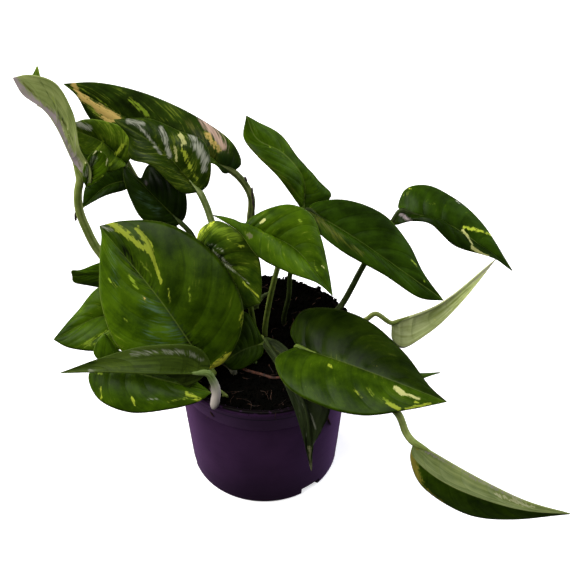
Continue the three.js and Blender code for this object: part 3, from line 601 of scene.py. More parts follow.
                (-0.85, 0.64, -0.7, 0.48, 4, 0.4),
            ],
        },
    },
    "left_stub": {
        "tone": "mid", "light": (0.9, 0.9), "cup": 1,
        "rib": [[-84, 40, 123], [-103, 34, 127], [-119, 26, 132]],
        "left": [[-87, 36, 113], [-106, 32, 117], [-116, 28, 124], [-119, 26, 128]],
        "right": [[-87, 44, 133], [-104, 37, 133], [-114, 29, 135], [-119, 26, 137]],
        "stalk": [[-72, 38, 114]],
        "soil": [-40, 22], "thick": [1.4, 1.7],
        "streaks": {},
    },
    "centre_yellow": {
        "tone": "yellow", "light": (1.1, 1.1),
        "rib": [[-40, 14, 165], [-19, 2, 162], [-1, -12, 145]],
        "left": [[-37, 14, 181], [-26, 8, 193], [-12, -3, 193], [-2, -5, 177], [0, -10, 160]],
        "right": [[-40, 6, 151], [-30, 0, 138], [-12, -8, 136]],
        "stalk": [[-36, 16, 153], [-25, 8, 125]],
        "soil": [-26, -4], "thick": [1.6, 1.9],
        "streaks": {
            # The light green washes are painted light on the upper left.
            "painted_lit_green": [(-0.81, 0.12, -0.96, 0.24, 9, 1), (-0.96, 0.24, -0.9, 0.5, 8, 0.9)],
            "yellow": [
                (-0.9, 0.12, -1, 0.3, 4, 0.8), (-0.75, 0.45, -0.81, 0.56, 3, 0.8),
                (0.03, 0.78, -0.57, 0.93, 2.2, 0.9),
            ],
            # The pale silver washes are painted highlights.
            "painted_highlight": [
                (-0.21, 0.39, -0.07, 0.57, 4.5, 0.55), (-0.39, 0.31, -0.39, 0.45, 3.5, 0.4),
                (0.01, 0.5, -0.25, 0.8, 2.0, 0.5),
            ],
            "moss": [(0.31, 0.68, 0.53, 0.87, 8, 0.5)],
        },
    },
    "hanging_front": {
        "tone": "dark", "light": (0.42, 0.32),
        "rib": [[2, -12, 113], [25, -58, 106], [30, -66, 54]],
        "left": [[0, -12, 110], [8, -30, 111], [18, -56, 103], [25, -66, 82], [28, -67, 67]],
        "right": [[8, -14, 116], [26, -34, 113], [41, -56, 105], [36, -64, 89], [30, -67, 75]],
        "stalk": [[3, -6, 108]],
        "soil": [9, -3], "thick": [1.5, 1.7],
        "streaks": {
            # The pale silver washes are painted highlights.
            "painted_highlight": [
                (-0.8, 0.43, -0.81, 0.55, 1.4, 0.7), (-0.81, 0.55, -0.04, 0.88, 1.4, 0.7),
                (-0.3, 0.59, 0.14, 0.66, 1.8, 0.5), (0.46, 0.63, 0.73, 0.7, 1.8, 0.6),
                (-0.86, 0.57, -0.76, 0.69, 1.4, 0.5), (1.0, 0.65, 1.0, 0.79, 1.2, 0.8),
            ],
            "straw": [(-0.04, 0.86, -0.47, 0.99, 3, 0.9)], "ash": [(-0.41, 0.12, 0.25, 0.26, 4, 0.5)],
        },
    },
    "centre_shaded": {
        "tone": "mid", "slot": "dark", "light": (0.4, 0.35), "cup": 2,
        "rib": [[0, -2, 101], [-11, -12, 106], [-24, -25, 107]],
        "left": [[-1, -10, 98], [-9, -20, 99], [-19, -26, 102]],
        "right": [[-3, 4, 107], [-12, 8, 119], [-21, -2, 109]],
        "stalk": [[1, 0, 97]],
        "soil": [-1, 4], "thick": [1.3, 1.5],
        "streaks": {},
    },
}

# Shape maths. Points are arrays of [x, y, z] in millimetres until `piece` puts them in a mesh.


def unit(vectors):
    """Each vector divided by its length."""
    return vectors / np.maximum(np.linalg.norm(vectors, axis=-1, keepdims=True), 1e-9)


def smooth(value, low, high):
    """0 below low, 1 above high, and 3t^2 - 2t^3 between."""
    t = np.clip((value - low) / (high - low), 0, 1)
    return t * t * (3 - 2 * t)


def heading(angle):
    """The direction [cos a, sin a] of each angle a."""
    return np.stack([np.cos(angle), np.sin(angle)], -1)


def curve_at(points, t):
    """The curve through the points at shares t of their number: between two neighbours a cubic
    whose end slopes weigh the chords on both sides by the square root of their length."""
    points = np.array(points, float)
    before, after = 2 * points[0] - points[1], 2 * points[-1] - points[-2]
    padded = np.vstack([before, points, after])
    place = np.clip(t, 0, 1) * (len(points) - 1)
    k = np.minimum(place.astype(int), len(points) - 2)
    w = (place - k)[:, None]
    a, b, c, d = (padded[k + i] for i in range(4))
    step = [np.sqrt(np.linalg.norm(q - p, axis=1))[:, None] for p, q in ((a, b), (b, c), (c, d))]
    slope_b = ((b - a) / step[0] - (c - a) / (step[0] + step[1])) * step[1] + (c - b)
    slope_c = (c - b) + ((d - c) / step[2] - (d - b) / (step[1] + step[2])) * step[1]
    square = 3 * (c - b) - 2 * slope_b - slope_c
    cube = 2 * (b - c) + slope_b + slope_c
    return b + slope_b * w + square * w**2 + cube * w**3


def walk(points, share):
    """The curve through the points at shares of its length, its directions there and its length:
    200 short chords are summed, and the share is read back into the curve's own parameter."""
    even = np.linspace(0, 1, 201)
    chords = np.linalg.norm(np.diff(curve_at(points, even), axis=0), axis=1)
    run = np.concatenate([[0], np.cumsum(chords)])
    t = np.interp(share, run / run[-1], even)
    ahead = curve_at(points, np.minimum(t + 1e-4, 1)) - curve_at(points, np.maximum(t - 1e-4, 0))
    return curve_at(points, t), unit(ahead), run[-1]


def skin(numbers):
    """Faces between neighbouring rows and columns of a table of point numbers, facing columns x rows.
    Where a row has shrunk to one point the face is a triangle."""
    a, b = numbers[:-1, :-1].ravel(), numbers[:-1, 1:].ravel()
    d, c = numbers[1:, :-1].ravel(), numbers[1:, 1:].ravel()
    start, end = a == b, c == d
    whole = ~(start | end)
    return [
        *np.stack([a, b, c, d], 1)[whole].tolist(),
        *np.stack([a, c, d], 1)[start].tolist(),
        *np.stack([a, b, c], 1)[end & ~start].tolist(),
    ]


def wrapped(numbers):
    """A table of point numbers whose columns come round to the first again."""
    return np.column_stack([numbers, numbers[:, 0]])


def capped(numbers, first, last):
    """A table of point numbers between two poles: a row of one number before it and one behind it."""
    columns = numbers.shape[1]
    return np.vstack([np.full(columns, first), numbers, np.full(columns, last)])


def joined(*surfaces):
    """Several surfaces in one: all their points, and their faces with the point numbers moved along."""
    points, faces = zip(*surfaces)
    firsts = np.cumsum([0, *map(len, points)]).tolist()
    moved = [[k + first for k in face] for first, some in zip(firsts, faces) for face in some]
    return np.vstack(points), moved


def spokes(across, beside, sides):
    """At each point of a path the directions cos a N + sin a B, with a = 2 pi k / sides."""
    angle = FULL_TURN * np.arange(sides)[:, None] / sides
    return across[..., None, :] * np.cos(angle) + beside[..., None, :] * np.sin(angle)


def bar(path, radius, sides=BAR_SIDES):
    """A round bar: point k of ring i is path[i] + radius[i] (cos a N + sin a B), with a = 2 pi k / sides.
    N is square to the path and to the normal of the plane that the path lies nearest, and B is square
    to both. Each end closes on a pole. Returns points, faces and, per point, [angle share, path share, 0]."""
    path, radius = np.array(path), np.array(radius)
    along = unit(np.gradient(path, axis=0))
    plane = np.linalg.svd(path - path.mean(0))[2][2]
    across = unit(np.cross(along, plane))
    ring = path[:, None] + spokes(across, np.cross(along, across), sides) * radius[:, None, None]
    points = np.vstack([ring.reshape(-1, 3), path[:1], path[-1:]])
    numbers = wrapped(np.arange(len(path) * sides).reshape(-1, sides))
    share = np.linspace(0, 1, len(path))[:, None]
    turn = np.abs(2 * np.arange(sides) / sides - 1)[None, :]
    marks = np.stack(np.broadcast_arrays(turn, share, 0.0), -1).reshape(-1, 3)
    faces = skin(capped(numbers, len(points) - 2, len(points) - 1))
    return points, faces, np.vstack([marks, [0.5, 0, 0], [0.5, 1, 0]])


def soil_height(x, y):
    """Height of the peat: level in front, heaped at the back by a smooth step, with two crossed waves."""
    lump = np.sin(0.31 * x + 1) * np.cos(0.27 * y) + 0.6 * np.sin(0.13 * x - 0.53 * y)
    return SOIL_EDGE_HEIGHT + SOIL_BACK_HEAP * smooth(y, 0, RIM_RADIUS) + SOIL_LUMP * lump


def into_soil(place, straight):
    """Three points straight down at [x, y]: above the peat, at its surface and at a stalk's depth."""
    top = float(soil_height(*np.array(place, float)))
    return [[*place, top + straight], [*place, top], [*place, top - STALK_DEPTH]]


def blade_frame(leaf, share):
    """For shares u from stalk to tip: the midrib's point at u^1.5, and for each half the straight line
    to the margin's point at u and the direction square to that line and to the midrib."""
    centre, along, _ = walk(leaf["rib"], share**RIB_SWEEP)
    halves = []
    for points, hand in ((leaf["left"], -1), (leaf["right"], 1)):
        edge = curve_at([leaf["rib"][0], *points, leaf["rib"][-1]], share) - centre
        halves.append((edge, unit(np.cross(hand * edge, along))))
    return centre, halves


def blade_middle(leaf, share, side):
    """The blade's middle surface: midrib + |s| edge + up cup 4|s|(1 - |s|) sin(pi u), for every u and s."""
    centre, halves = blade_frame(leaf, share)
    reach = np.abs(side)[None, :, None]
    right = side[None, :, None] >= 0
    edge = np.where(right, halves[1][0][:, None], halves[0][0][:, None])
    up = np.where(right, halves[1][1][:, None], halves[0][1][:, None])
    bulge = leaf.get("cup", CUP) * 4 * reach * (1 - reach) * np.sin(np.pi * share)[:, None, None]
    return centre[:, None] + edge * reach + up * bulge, np.linalg.norm(edge, axis=2) * reach[..., 0]


# Finishes


def paint(code):
    """The linear colour of a web colour code."""
    c = np.array([int(code[k : k + 2], 16) for k in (0, 2, 4)]) / 255
    return (*np.where(c <= 0.04045, c / 12.92, ((c + 0.055) / 1.055) ** 2.4).tolist(), 1.0)


def maths(operation, swapped=False):
    """The method that adds a Math node for an operator, or for its reflected form."""

    def add(self, other):
        pair = (other, self) if swapped else (self, other)
        return self.finish.node("ShaderNodeMath", {"operation": operation}, dict(enumerate(pair)))

    return add


class Reading:
    """A socket of a finish's nodes. Arithmetic on it adds Math nodes."""

    __add__, __radd__ = maths("ADD"), maths("ADD", True)
    __sub__, __rsub__ = maths("SUBTRACT"), maths("SUBTRACT", True)
    __mul__, __rmul__ = maths("MULTIPLY"), maths("MULTIPLY", True)
    __pow__ = maths("POWER")

    def __init__(self, finish, socket):
        self.finish, self.socket = finish, socket

    def of(self, operation):
        """A Math node of one value, such as COSINE or ABSOLUTE."""
        return self.finish.node("ShaderNodeMath", {"operation": operation}, {0: self})

    def rise(self, low, high):
        """0 below low, 1 above high and a smooth step between."""
        settings = {"interpolation_type": "SMOOTHSTEP"}
        values = {"Value": self, "From Min": low, "From Max": high}
        return self.finish.node("ShaderNodeMapRange", settings, values)

    def between(self, mark):
        """The rise of a place between the two millimetres of a mark on the pot."""
        low, high = POT_MARKS[mark]
        return self.rise(low * METRE, high * METRE)


class Finish:
    """A material in the making, with the shader at its end."""

    def __init__(self, name):
        self.material = bpy.data.materials.new(name)
        self.material.use_nodes = True
        self.tree = self.material.node_tree
        self.shader = self.tree.nodes["Principled BSDF"]

    def put(self, socket, value):
        if isinstance(value, Reading):
            self.tree.links.new(value.socket, socket)
        else:
            socket.default_value = value

    def node(self, kind, settings=None, values=None, output=0):
        """A node with its settings and then its sockets' values or links; one of its outputs is read."""
        made = self.tree.nodes.new(kind)
        for key, value in (settings or {}).items():
            setattr(made, key, value)
        for key, value in (values or {}).items():
            self.put(made.inputs[key], value)
        return Reading(self, made.outputs[output])

    def mix(self, a, b, share):
        return self.node("ShaderNodeMix", {"data_type": "RGBA"}, {0: share, 6: a, 7: b}, 2)

    def vector(self, x, y, z):
        return self.node("ShaderNodeCombineXYZ", {}, {0: x, 1: y, 2: z})

    def object_place(self):
        return self.node("ShaderNodeTexCoord", {}, {}, 3)

    def noise(self, place, scale, detail=3.0, roughness=0.55):
        values = {"Vector": place, "Scale": scale, "Detail": detail, "Roughness": roughness}
        return self.node("ShaderNodeTexNoise", {}, values)

    def grain(self, name):
        """A noise pattern of the table, on the object's own place."""
        return self.noise(self.object_place(), *GRAINS[name])

    def marks(self, title):
        """The three numbers of a vector kept on the points."""
        kept = self.node("ShaderNodeAttribute", {"attribute_name": title}, {}, 1)
        return self.parts(kept)

    def parts(self, vector):
        first = self.node("ShaderNodeSeparateXYZ", {}, {0: vector})
        return [Reading(self, output) for output in first.socket.node.outputs]

    def painted(self, title):
        """The colour and the amount of a paint kept on the points."""
        colour = self.node("ShaderNodeAttribute", {"attribute_name": title})
        return colour, Reading(self, colour.socket.node.outputs["Alpha"])

    def bump(self, height, depth):
        """A normal bent by a height of at most depth millimetres."""
        return self.node("ShaderNodeBump", {}, {"Height": height, "Distance": depth * METRE})

    def done(self, **values):
        for key, value in values.items():
            self.put(self.shader.inputs[key.replace("_", " ")], value)
        return self.material


finishes_made = {}


def leaf_finishes(tone):
    """The three finishes of a leaf of one tone, made once."""
    if tone not in finishes_made:
        finishes_made[tone] = [upper_finish(tone), under_finish(tone), stalk_finish(tone)]
    return finishes_made[tone]


def vein_readings(made):
    """Readings that upper and under face share: distance from the midrib as a share, the leaf's painted light
    (a factor that darkens its colour as painted shade), streaks and fine streaks that follow the side veins,
    blotches, the lines of the side veins, and nearness to the midrib."""
    side, share, from_rib = made.marks("place")
    light, seed, _ = made.marks("look")
    reach, hand = side.of("ABSOLUTE"), side.of("SIGN")
    vein = share - VEIN_ARCH * reach**ARCH_POWER
    along_veins = []
    for across, along, by_leaf, by_half, detail in (VEIN_STREAKS, FINE_STREAKS):
        swept = made.vector(reach * across + seed * by_leaf, vein * along, seed + hand * by_half)
        along_veins.append(made.noise(swept, 1, detail))
    lines = (FULL_TURN * (SIDE_VEINS * vein + 0.25 * hand)).of("COSINE").rise(0.94, 1)
    rib = 1 - from_rib.rise(0.25, 0.7)
    return reach, light, *along_veins, made.grain("blotches"), lines, rib


def streaked(made, green, streaks, fine):
    """The green under its soft washes and then its ragged streaks, and how much of it the streaks cover."""
    wash, depth = made.painted("washes")
    broken = depth + 1.2 * (streaks - 0.5) + 2.2 * (fine - 0.5)
    green = made.mix(green, wash, broken.rise(0.05, 1.15) * depth.rise(0, 0.25))
    streak, amount = made.painted("streaks")
    speckle = made.grain("speckle")
    ragged = amount + 1.5 * (streaks - 0.5) + 1.6 * (fine - 0.5) + 1.3 * (speckle - 0.5)
    there = amount.rise(0.03, 0.3)
    patch = ragged.rise(0.38, 0.62) * there
    green = made.mix(green, paint(HALO_PAINT), ragged.rise(0.1, 0.45) * there * 0.4)
    return made.mix(green, streak, patch), patch


def upper_finish(tone):
    """Waxy upper face: green streaked along the side veins, yellow-green flecks, painted streaks with ragged
    ends, a pale midrib and margin."""
    deep, fresh = TONES[tone][:2]
    flecks = TONES[tone][-1]
    made = Finish(f"leaf_upper_{tone}")
    reach, light, streaks, fine, blotches, lines, rib = vein_readings(made)
    green = made.mix(paint(deep), paint(fresh), (streaks * 0.3 + blotches * 0.7).rise(0.32, 0.68))
    mottle = (streaks * 0.4 + fine * 0.6).rise(0.62 - flecks, 0.74 - flecks) * blotches.rise(0.42, 0.6)
    green = made.mix(green, paint(FLECK_PAINT), mottle * 0.6)
    green, patch = streaked(made, green, streaks, fine)
    green = made.mix(green, paint(RIB_PAINT), rib * 0.4 + reach.rise(0.98, 0.997) * 0.5)
    green = made.mix(green, paint(deep), lines * 0.25)
    height = 0.5 * fine - 0.6 * lines + 0.4 * made.grain("leaf_skin")
    # The colour is darkened towards black by the leaf's painted light, as painted shade.
    return made.done(
        Base_Color=made.mix(BLACK, green, light), Roughness=0.3 + 0.14 * blotches + 0.06 * patch,
        Specular_IOR_Level=LEAF_GLOSS, Normal=made.bump(height, BUMPS["upper"]),
    )


def under_finish(tone):
    """Dull under face: mottled lengthwise, with darker side veins and a pale midrib and margin."""
    dull, pale = TONES[tone][2:4]
    made = Finish(f"leaf_under_{tone}")
    reach, light, streaks, fine, blotches, lines, rib = vein_readings(made)
    side, share, _ = made.marks("place")
    _, seed, _ = made.marks("look")
    lengthwise = made.noise(made.vector(side * 9 + seed, share * 2.5, seed), 1, 3)
    green = made.mix(paint(dull), paint(pale), (lengthwise * 0.6 + blotches * 0.4).rise(0.28, 0.74))
    green = made.mix(green, paint(dull), lines * 0.2)
    green, patch = streaked(made, green, streaks, fine)
    green = made.mix(green, paint(pale), rib * 0.5 + reach.rise(0.965, 0.995) * 0.4)
    height = 0.3 * fine + 0.4 * lines + 0.4 * made.grain("leaf_skin")
    # The colour is darkened towards black by the leaf's painted light, as painted shade.
    return made.done(
        Base_Color=made.mix(BLACK, green, light), Roughness=0.42 + 0.14 * blotches + 0.05 * patch,
        Specular_IOR_Level=LEAF_GLOSS, Normal=made.bump(height, BUMPS["under"]),
    )


def stalk_finish(tone):
    """Stalk: pale streaks along a darker green, with another paint at its lower end. Shares past 1 are the
    club's hidden foot, which is painted dark as painted shade."""
    dark, pale = TONES[tone][4:6]
    made = Finish(f"leaf_stalk_{tone}")
    turn, share, _ = made.marks("place")
    _, seed, _ = made.marks("look")
    streaks = made.noise(made.vector(turn * 5, share * 3 + seed, seed), 1, 3)
    spots = made.grain("stalk_spots")
    green = made.mix(paint(dark), paint(pale), (streaks * 0.7 + spots * 0.3).rise(0.35, 0.65))
    foot, start, end = CLUB_FOOT if tone == "folded" else STALK_FOOT
    green = made.mix(green, paint(foot), share.rise(start, end) * 0.8)
    # Painted shade on the club's hidden foot.
    green = made.mix(green, paint(DARK_FOOT_PAINT), share.rise(1.2, 1.4))
    return made.done(
        Base_Color=green, Roughness=0.36 + 0.2 * spots, Specular_IOR_Level=LEAF_GLOSS,
        Normal=made.bump(0.6 * streaks + 0.4 * spots, BUMPS["stalk"]),
    )


def pot_finish():
    """Matte moulded plastic: deep violet with faint clouds and fine scuffs, darkened towards the foot by
    painted shade, with a sprinkling of peat dust, and peat smeared on the lip, most at the back, and down the
    inside."""
    made = Finish("purple_plastic")
    place = made.object_place()
    x, y, height = made.parts(place)
    flattened = made.node("ShaderNodeMapping", {}, {"Vector": place, "Scale": (1, 1, SCUFF_FLATTENING)})
    scuffs = made.noise(flattened, *GRAINS["scuffs"])
    colours = {part: paint(code) for part, code in POT_PAINTS.items()}
    violet = made.mix(colours["deep"], colours["clouded"], made.grain("plastic_clouds").rise(0.3, 0.7))
    violet = made.mix(violet, colours["scuffed"], scuffs.rise(0.62, 0.8) * 0.25)
    # Painted shade: the violet darkens towards the foot.
    violet = made.mix(violet, colours["foot"], 1 - height.between("painted_shade_at_foot"))
    dust = made.grain("dust").rise(0.62, 0.7) * height.between("dust") * 0.6
    at_back = y.between("back") * height.between("back_lip")
    on_lip = (height.between("lip") * 0.75 + at_back).rise(0, 0.8) * made.grain("smears").rise(0.3, 0.45)
    past_inside = (x * x + y * y).of("SQRT").between("past_inside")
    inside = (1 - past_inside) * height.between("inside_top")
    violet = made.mix(violet, colours["dirt"], dust + (on_lip + inside))
    bumps = 0.7 * made.grain("plastic_grain") + 0.3 * scuffs
    return made.done(
        Base_Color=violet, Roughness=0.42 + 0.16 * scuffs, Specular_IOR_Level=POT_GLOSS, Sheen_Weight=0.35,
        Sheen_Roughness=0.3, Sheen_Tint=colours["sheen"], Normal=made.bump(bumps, BUMPS["pot"]),
    )


def peat_finish():
    """Damp peat: near black with brown specks."""
    made = Finish("peat")
    specks, clumps = made.grain("peat_specks"), made.grain("peat_clumps")
    brown = made.mix(*map(paint, PEAT_PAINTS), (specks * 0.6 + clumps * 0.4).rise(0.45, 0.75))
    return made.done(
        Base_Color=brown, Roughness=0.8 + 0.15 * specks, Specular_IOR_Level=PEAT_GLOSS,
        Normal=made.bump(specks + clumps, BUMPS["peat"]),
    )


def fibre_finish(name):
    """Dry fibre or skin of this name: two paints in small spots."""
    made = Finish(name)
    spots = made.grain("fibre_spots")
    mottled = made.mix(*map(paint, FIBRE_PAINTS[name]), spots.rise(0.35, 0.7))
    normal = made.bump(spots, BUMPS["fibre"])
    return made.done(Base_Color=mottled, Roughness=0.6 + 0.3 * spots, Normal=normal)


def floor_finish():
    """Pale matte paper with a faint cloudiness."""
    made = Finish("pale_paper")
    pale = made.mix((0.86, 0.86, 0.86, 1), (0.9, 0.9, 0.9, 1), made.grain("paper_clouds"))
    return made.done(Base_Color=pale, Roughness=0.9, Emission_Color=WHITE, Emission_Strength=FLOOR_GLOW)


# Pieces


def placed(name, data):
    """A new object of the scene."""
    made = bpy.data.objects.new(name, data)
    bpy.context.scene.collection.objects.link(made)
    return made


def piece(name, points, faces, finishes, slot, replaces=(), finish_of=None, **marks):
    """A mesh object in metres from points in millimetres, riding on the plant, with smooth shading.
    finish_of numbers each face's finish, and each of marks is kept as a vector or colour of every point."""
    mesh = bpy.data.meshes.new(name)
    mesh.from_pydata(np.asarray(points) * METRE, [], faces)
    mesh.polygons.foreach_set("use_smooth", np.ones(len(faces), bool))
    if finish_of is not None:
        mesh.polygons.foreach_set("material_index", np.asarray(finish_of, np.int32))
    for title, values in marks.items():
        values = np.asarray(values, np.float32)
        kind, field = ("FLOAT_COLOR", "color") if values.shape[1] == 4 else ("FLOAT_VECTOR", "vector")
        mesh.attributes.new(title, kind, "POINT").data.foreach_set(field, values.ravel())
    for finish in finishes:
        mesh.materials.append(finish)
    mesh.update()
    made = placed(name, mesh)
    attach(made, "root")
    if replaces:
        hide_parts(*replaces)
    return made


def blade(leaf, seed):
    """The blade as a closed skin. Its middle surface sinks in a furrow over each side vein, waves along the
    margins and is grooved over the midrib. Each face lies half the thickness off it, which falls to nothing
    at the margins, and the lower face swells over the midrib. Marks: side s, share u, distance from the
    midrib."""
    share = np.linspace(0, 1, BLADE_ROWS + 1)[1:-1]
    even = np.linspace(-1, 1, 2 * HALF_COLUMNS + 1)
    side = np.sign(even) * np.abs(even) ** COLUMN_CROWDING
    middle, from_rib = blade_middle(leaf, share, side)
    up = unit(np.cross(np.gradient(middle, axis=1), np.gradient(middle, axis=0)))
    u, s = share[:, None], side[None, :]
    reach = np.abs(s)
    vein = u - VEIN_ARCH * reach**ARCH_POWER
    over_vein = 0.5 + 0.5 * np.cos(FULL_TURN * (SIDE_VEINS * vein + 0.25 * np.sign(s)))
    half_width = from_rib.max(1, keepdims=True)
    furrow = FURROW * half_width * over_vein**3 * smooth(reach, 0, FURROW_START) * (1 - reach**3)
    turns = MARGIN_WAVE["count"] * u + MARGIN_WAVE["shift"] * seed + MARGIN_WAVE["lean"] * s
    wave = MARGIN_WAVE["height"] * reach**4 * np.sin(FULL_TURN * turns) * np.sin(np.pi * u)
    groove = GROOVE["depth"] * np.exp(-((from_rib / GROOVE["width"]) ** 2)) * (1 - u)
    taper = 1 - RIB_RIDGE["taper"] * u
    ridge = RIB_RIDGE["height"] * np.exp(-((from_rib / RIB_RIDGE["width"]) ** 2)) * taper
    closing = np.sqrt(1 - np.abs(2 * u - 1) ** BLUNT_ENDS)
    half = HALF_THICKNESS * np.sqrt(1 - reach**BLUNT_MARGINS) * closing
    middle = middle + up * (wave - furrow)[..., None]
    above = middle + up * (half - groove * closing)[..., None]
    below = middle - up * (half + ridge * closing)[..., None]
    rows, columns = above.shape[:2]
    stalk_end, tip = leaf["rib"][:1], leaf["rib"][-1:]
    points = np.vstack([stalk_end, above.reshape(-1, 3), below[:, 1:-1].reshape(-1, 3), tip])
    upper = 1 + np.arange(rows * columns).reshape(rows, columns)
    lower = upper.copy()
    lower[:, 1:-1] = 1 + rows * columns + np.arange(rows * (columns - 2)).reshape(rows, columns - 2)
    upper, lower = (capped(numbers, 0, len(points) - 1) for numbers in (upper, lower))
    grid = np.stack(np.broadcast_arrays(s, u, from_rib), -1)
    marks = np.vstack([[[0, 0, 0]], grid.reshape(-1, 3), grid[:, 1:-1].reshape(-1, 3), [[0, 1, 0]]])
    return points, skin(upper), skin(lower[:, ::-1]), marks


def on_blade(leaf, side, share):
    """A point of the blade's middle surface."""
    return blade_middle(leaf, np.array([share]), np.array([side]))[0][0, 0]


def painted(leaf, points, paints):
    """The colour and amount, at each point, of the leaf's streaks in these paints. A streak is a straight
    line between two places of the blade: its amount is its strength times a smooth fall with the distance
    from the line, and the colour leans to the nearest streaks by (0.1 + distance^2)^-3."""
    colour, weights = np.zeros((len(points), 3)), np.full(len(points), 1e-9)
    amount = np.zeros(len(points))
    rows = [(name, *row) for name in leaf["streaks"] if name in paints for row in leaf["streaks"][name]]
    for name, side_a, share_a, side_b, share_b, width, strength in rows:
        a, b = on_blade(leaf, side_a, share_a), on_blade(leaf, side_b, share_b)
        line = b - a
        along = np.clip((points - a) @ line / max(line @ line, 1e-6), 0, 1)
        away = np.linalg.norm(points - a - along[:, None] * line, axis=1) / (STREAK_REACH * width)
        weight = strength * (0.1 + away**2) ** -3
        colour += weight[:, None] * paint(paints[name])[:3]
        weights += weight
        amount = np.maximum(amount, strength * (1 - smooth(away, 0, 1)))
    return np.column_stack([colour / weights[:, None], amount])


def paints_on(leaf, points, bare=0):
    """The marks of streaks and washes at the blade's points, followed by so many bare points."""
    kinds = {"streaks": STREAK_PAINTS, "washes": WASH_PAINTS}
    bare_marks = np.zeros((bare, 4))
    return {kind: np.vstack([painted(leaf, points, paints), bare_marks]) for kind, paints in kinds.items()}


def stalk(leaf):
    """The stalk: a round bar from inside the blade, out of it along the midrib and straight down into the
    peat. Its radius grows from a wire inside the blade to the stalk's own, and a club's end is rounded."""
    in_blade = walk(leaf["rib"], np.array([RIB_GRIP, RIB_GRIP / 2]))[0]
    points = [*in_blade.tolist(), leaf["rib"][0], *leaf["stalk"]]
    if "soil" in leaf:
        points += into_soil(leaf["soil"], UPRIGHT_OVER_SOIL)
    share = np.linspace(0, 1, STALK_RINGS + 1)
    path, _, length = walk(points, share)
    at_blade, at_soil = leaf["thick"]
    in_rib = RIB_GRIP * walk(leaf["rib"], share)[2] / length
    radius = at_blade + (at_soil - at_blade) * share
    radius = radius * (RIB_END + (1 - RIB_END) * smooth(share, 0, in_rib))
    if "foot" not in leaf:
        return bar(path, radius)
    past = np.clip((share - 1 + CLUB_END) / CLUB_END, 0, 1)
    points, faces, marks = bar(path, radius * np.sqrt(1 - CLUB_NARROWING * past**2))
    foot = walk([*leaf["foot"], *into_soil(leaf["foot_soil"], SHEATH_UPRIGHT)], share)[0]
    foot_points, foot_faces, foot_marks = bar(foot, np.full(len(foot), leaf["foot_radius"]))
    surface = joined((points, faces), (foot_points, foot_faces))
    return *surface, np.vstack([marks, foot_marks + [0, 1, 0]])


def leaf_piece(name, leaf, seed):
    """One leaf: its blade with an upper and an under finish, and its stalk."""
    blade_points, upper, under, marks = blade(leaf, seed)
    stalk_points, stalk_faces, stalk_marks = stalk(leaf)
    points, faces = joined((blade_points, upper + under), (stalk_points, stalk_faces))
    finish_of = [0] * len(upper) + [1] * len(under) + [2] * len(stalk_faces)
    # Painted light: a factor for each half of the blade that darkens its colour as painted shade.
    left, right = leaf.get("light", (1, 1))
    light = left + (right - left) * smooth(marks[:, 0], -HALVES_MEET, HALVES_MEET)
    light = np.concatenate([light, np.full(len(stalk_points), (left + right) / 2)])
    look = np.column_stack([light, np.full(len(light), seed), 0 * light])
    slot = f"leaf_{leaf.get('slot', leaf['tone'])}"
    return piece(
        f"{name}_leaf", points, faces, leaf_finishes(leaf["tone"]), slot, [f"leaf_{name}"], finish_of,
        place=np.vstack([marks, stalk_marks]), look=look,
        **paints_on(leaf, blade_points, len(stalk_points)),
    )


def curled_lobe():
    """The curled lobe: a small blade with both its faces."""
    lobe, seed = CURLED_LOBE, CURLED_LOBE["seed"]
    points, upper, under, marks = blade(lobe, seed)
    look = np.tile([lobe["light"], seed, 0], (len(points), 1))
    return piece(
        "upper_left_curled_lobe", points, upper + under, leaf_finishes("bright")[:2], "leaf_pale", (),
        [0] * len(upper) + [1] * len(under), place=marks, look=look, **paints_on(lobe, points),
    )


def rounded(corners, steps=5):
    """A profile whose corners [radius, height, rounding] are replaced by the parabola that touches both
    sides at the rounding's distance from the corner."""
    profile = []
    for k, (r, z, rounding) in enumerate(corners):
        corner = np.array([r, z], float)
        if not rounding:
            profile.append(corner)
            continue
        before, after = (np.array(corners[k + d][:2], float) for d in (-1, 1))
        a = corner + (before - corner) / np.linalg.norm(before - corner) * rounding
        b = corner + (after - corner) / np.linalg.norm(after - corner) * rounding
        t = np.linspace(0, 1, steps + 1)[:, None]
        profile.extend((1 - t) ** 2 * a + 2 * t * (1 - t) * corner + t**2 * b)
    return np.array(profile)


def inside_radius(z):
    """Radius of the pot's inside: two straight tapers that meet at the collar's foot."""
    middle = WALL_TOP_RADIUS - WALL
    heights = [FLOOR, COLLAR_FOOT, POT_HEIGHT]
    return np.interp(z, heights, [BASE_RADIUS - WALL, middle, RIM_RADIUS - WALL - LIP_OUT])


def welded(points, faces):
    """The same surface with points that lie on each other made one."""
    _, kept, renumbered = np.unique(np.round(points, 4), axis=0, return_index=True, return_inverse=True)
    renumbered = renumbered.ravel()
    return points[kept], [renumbered[list(face)].tolist() for face in faces]


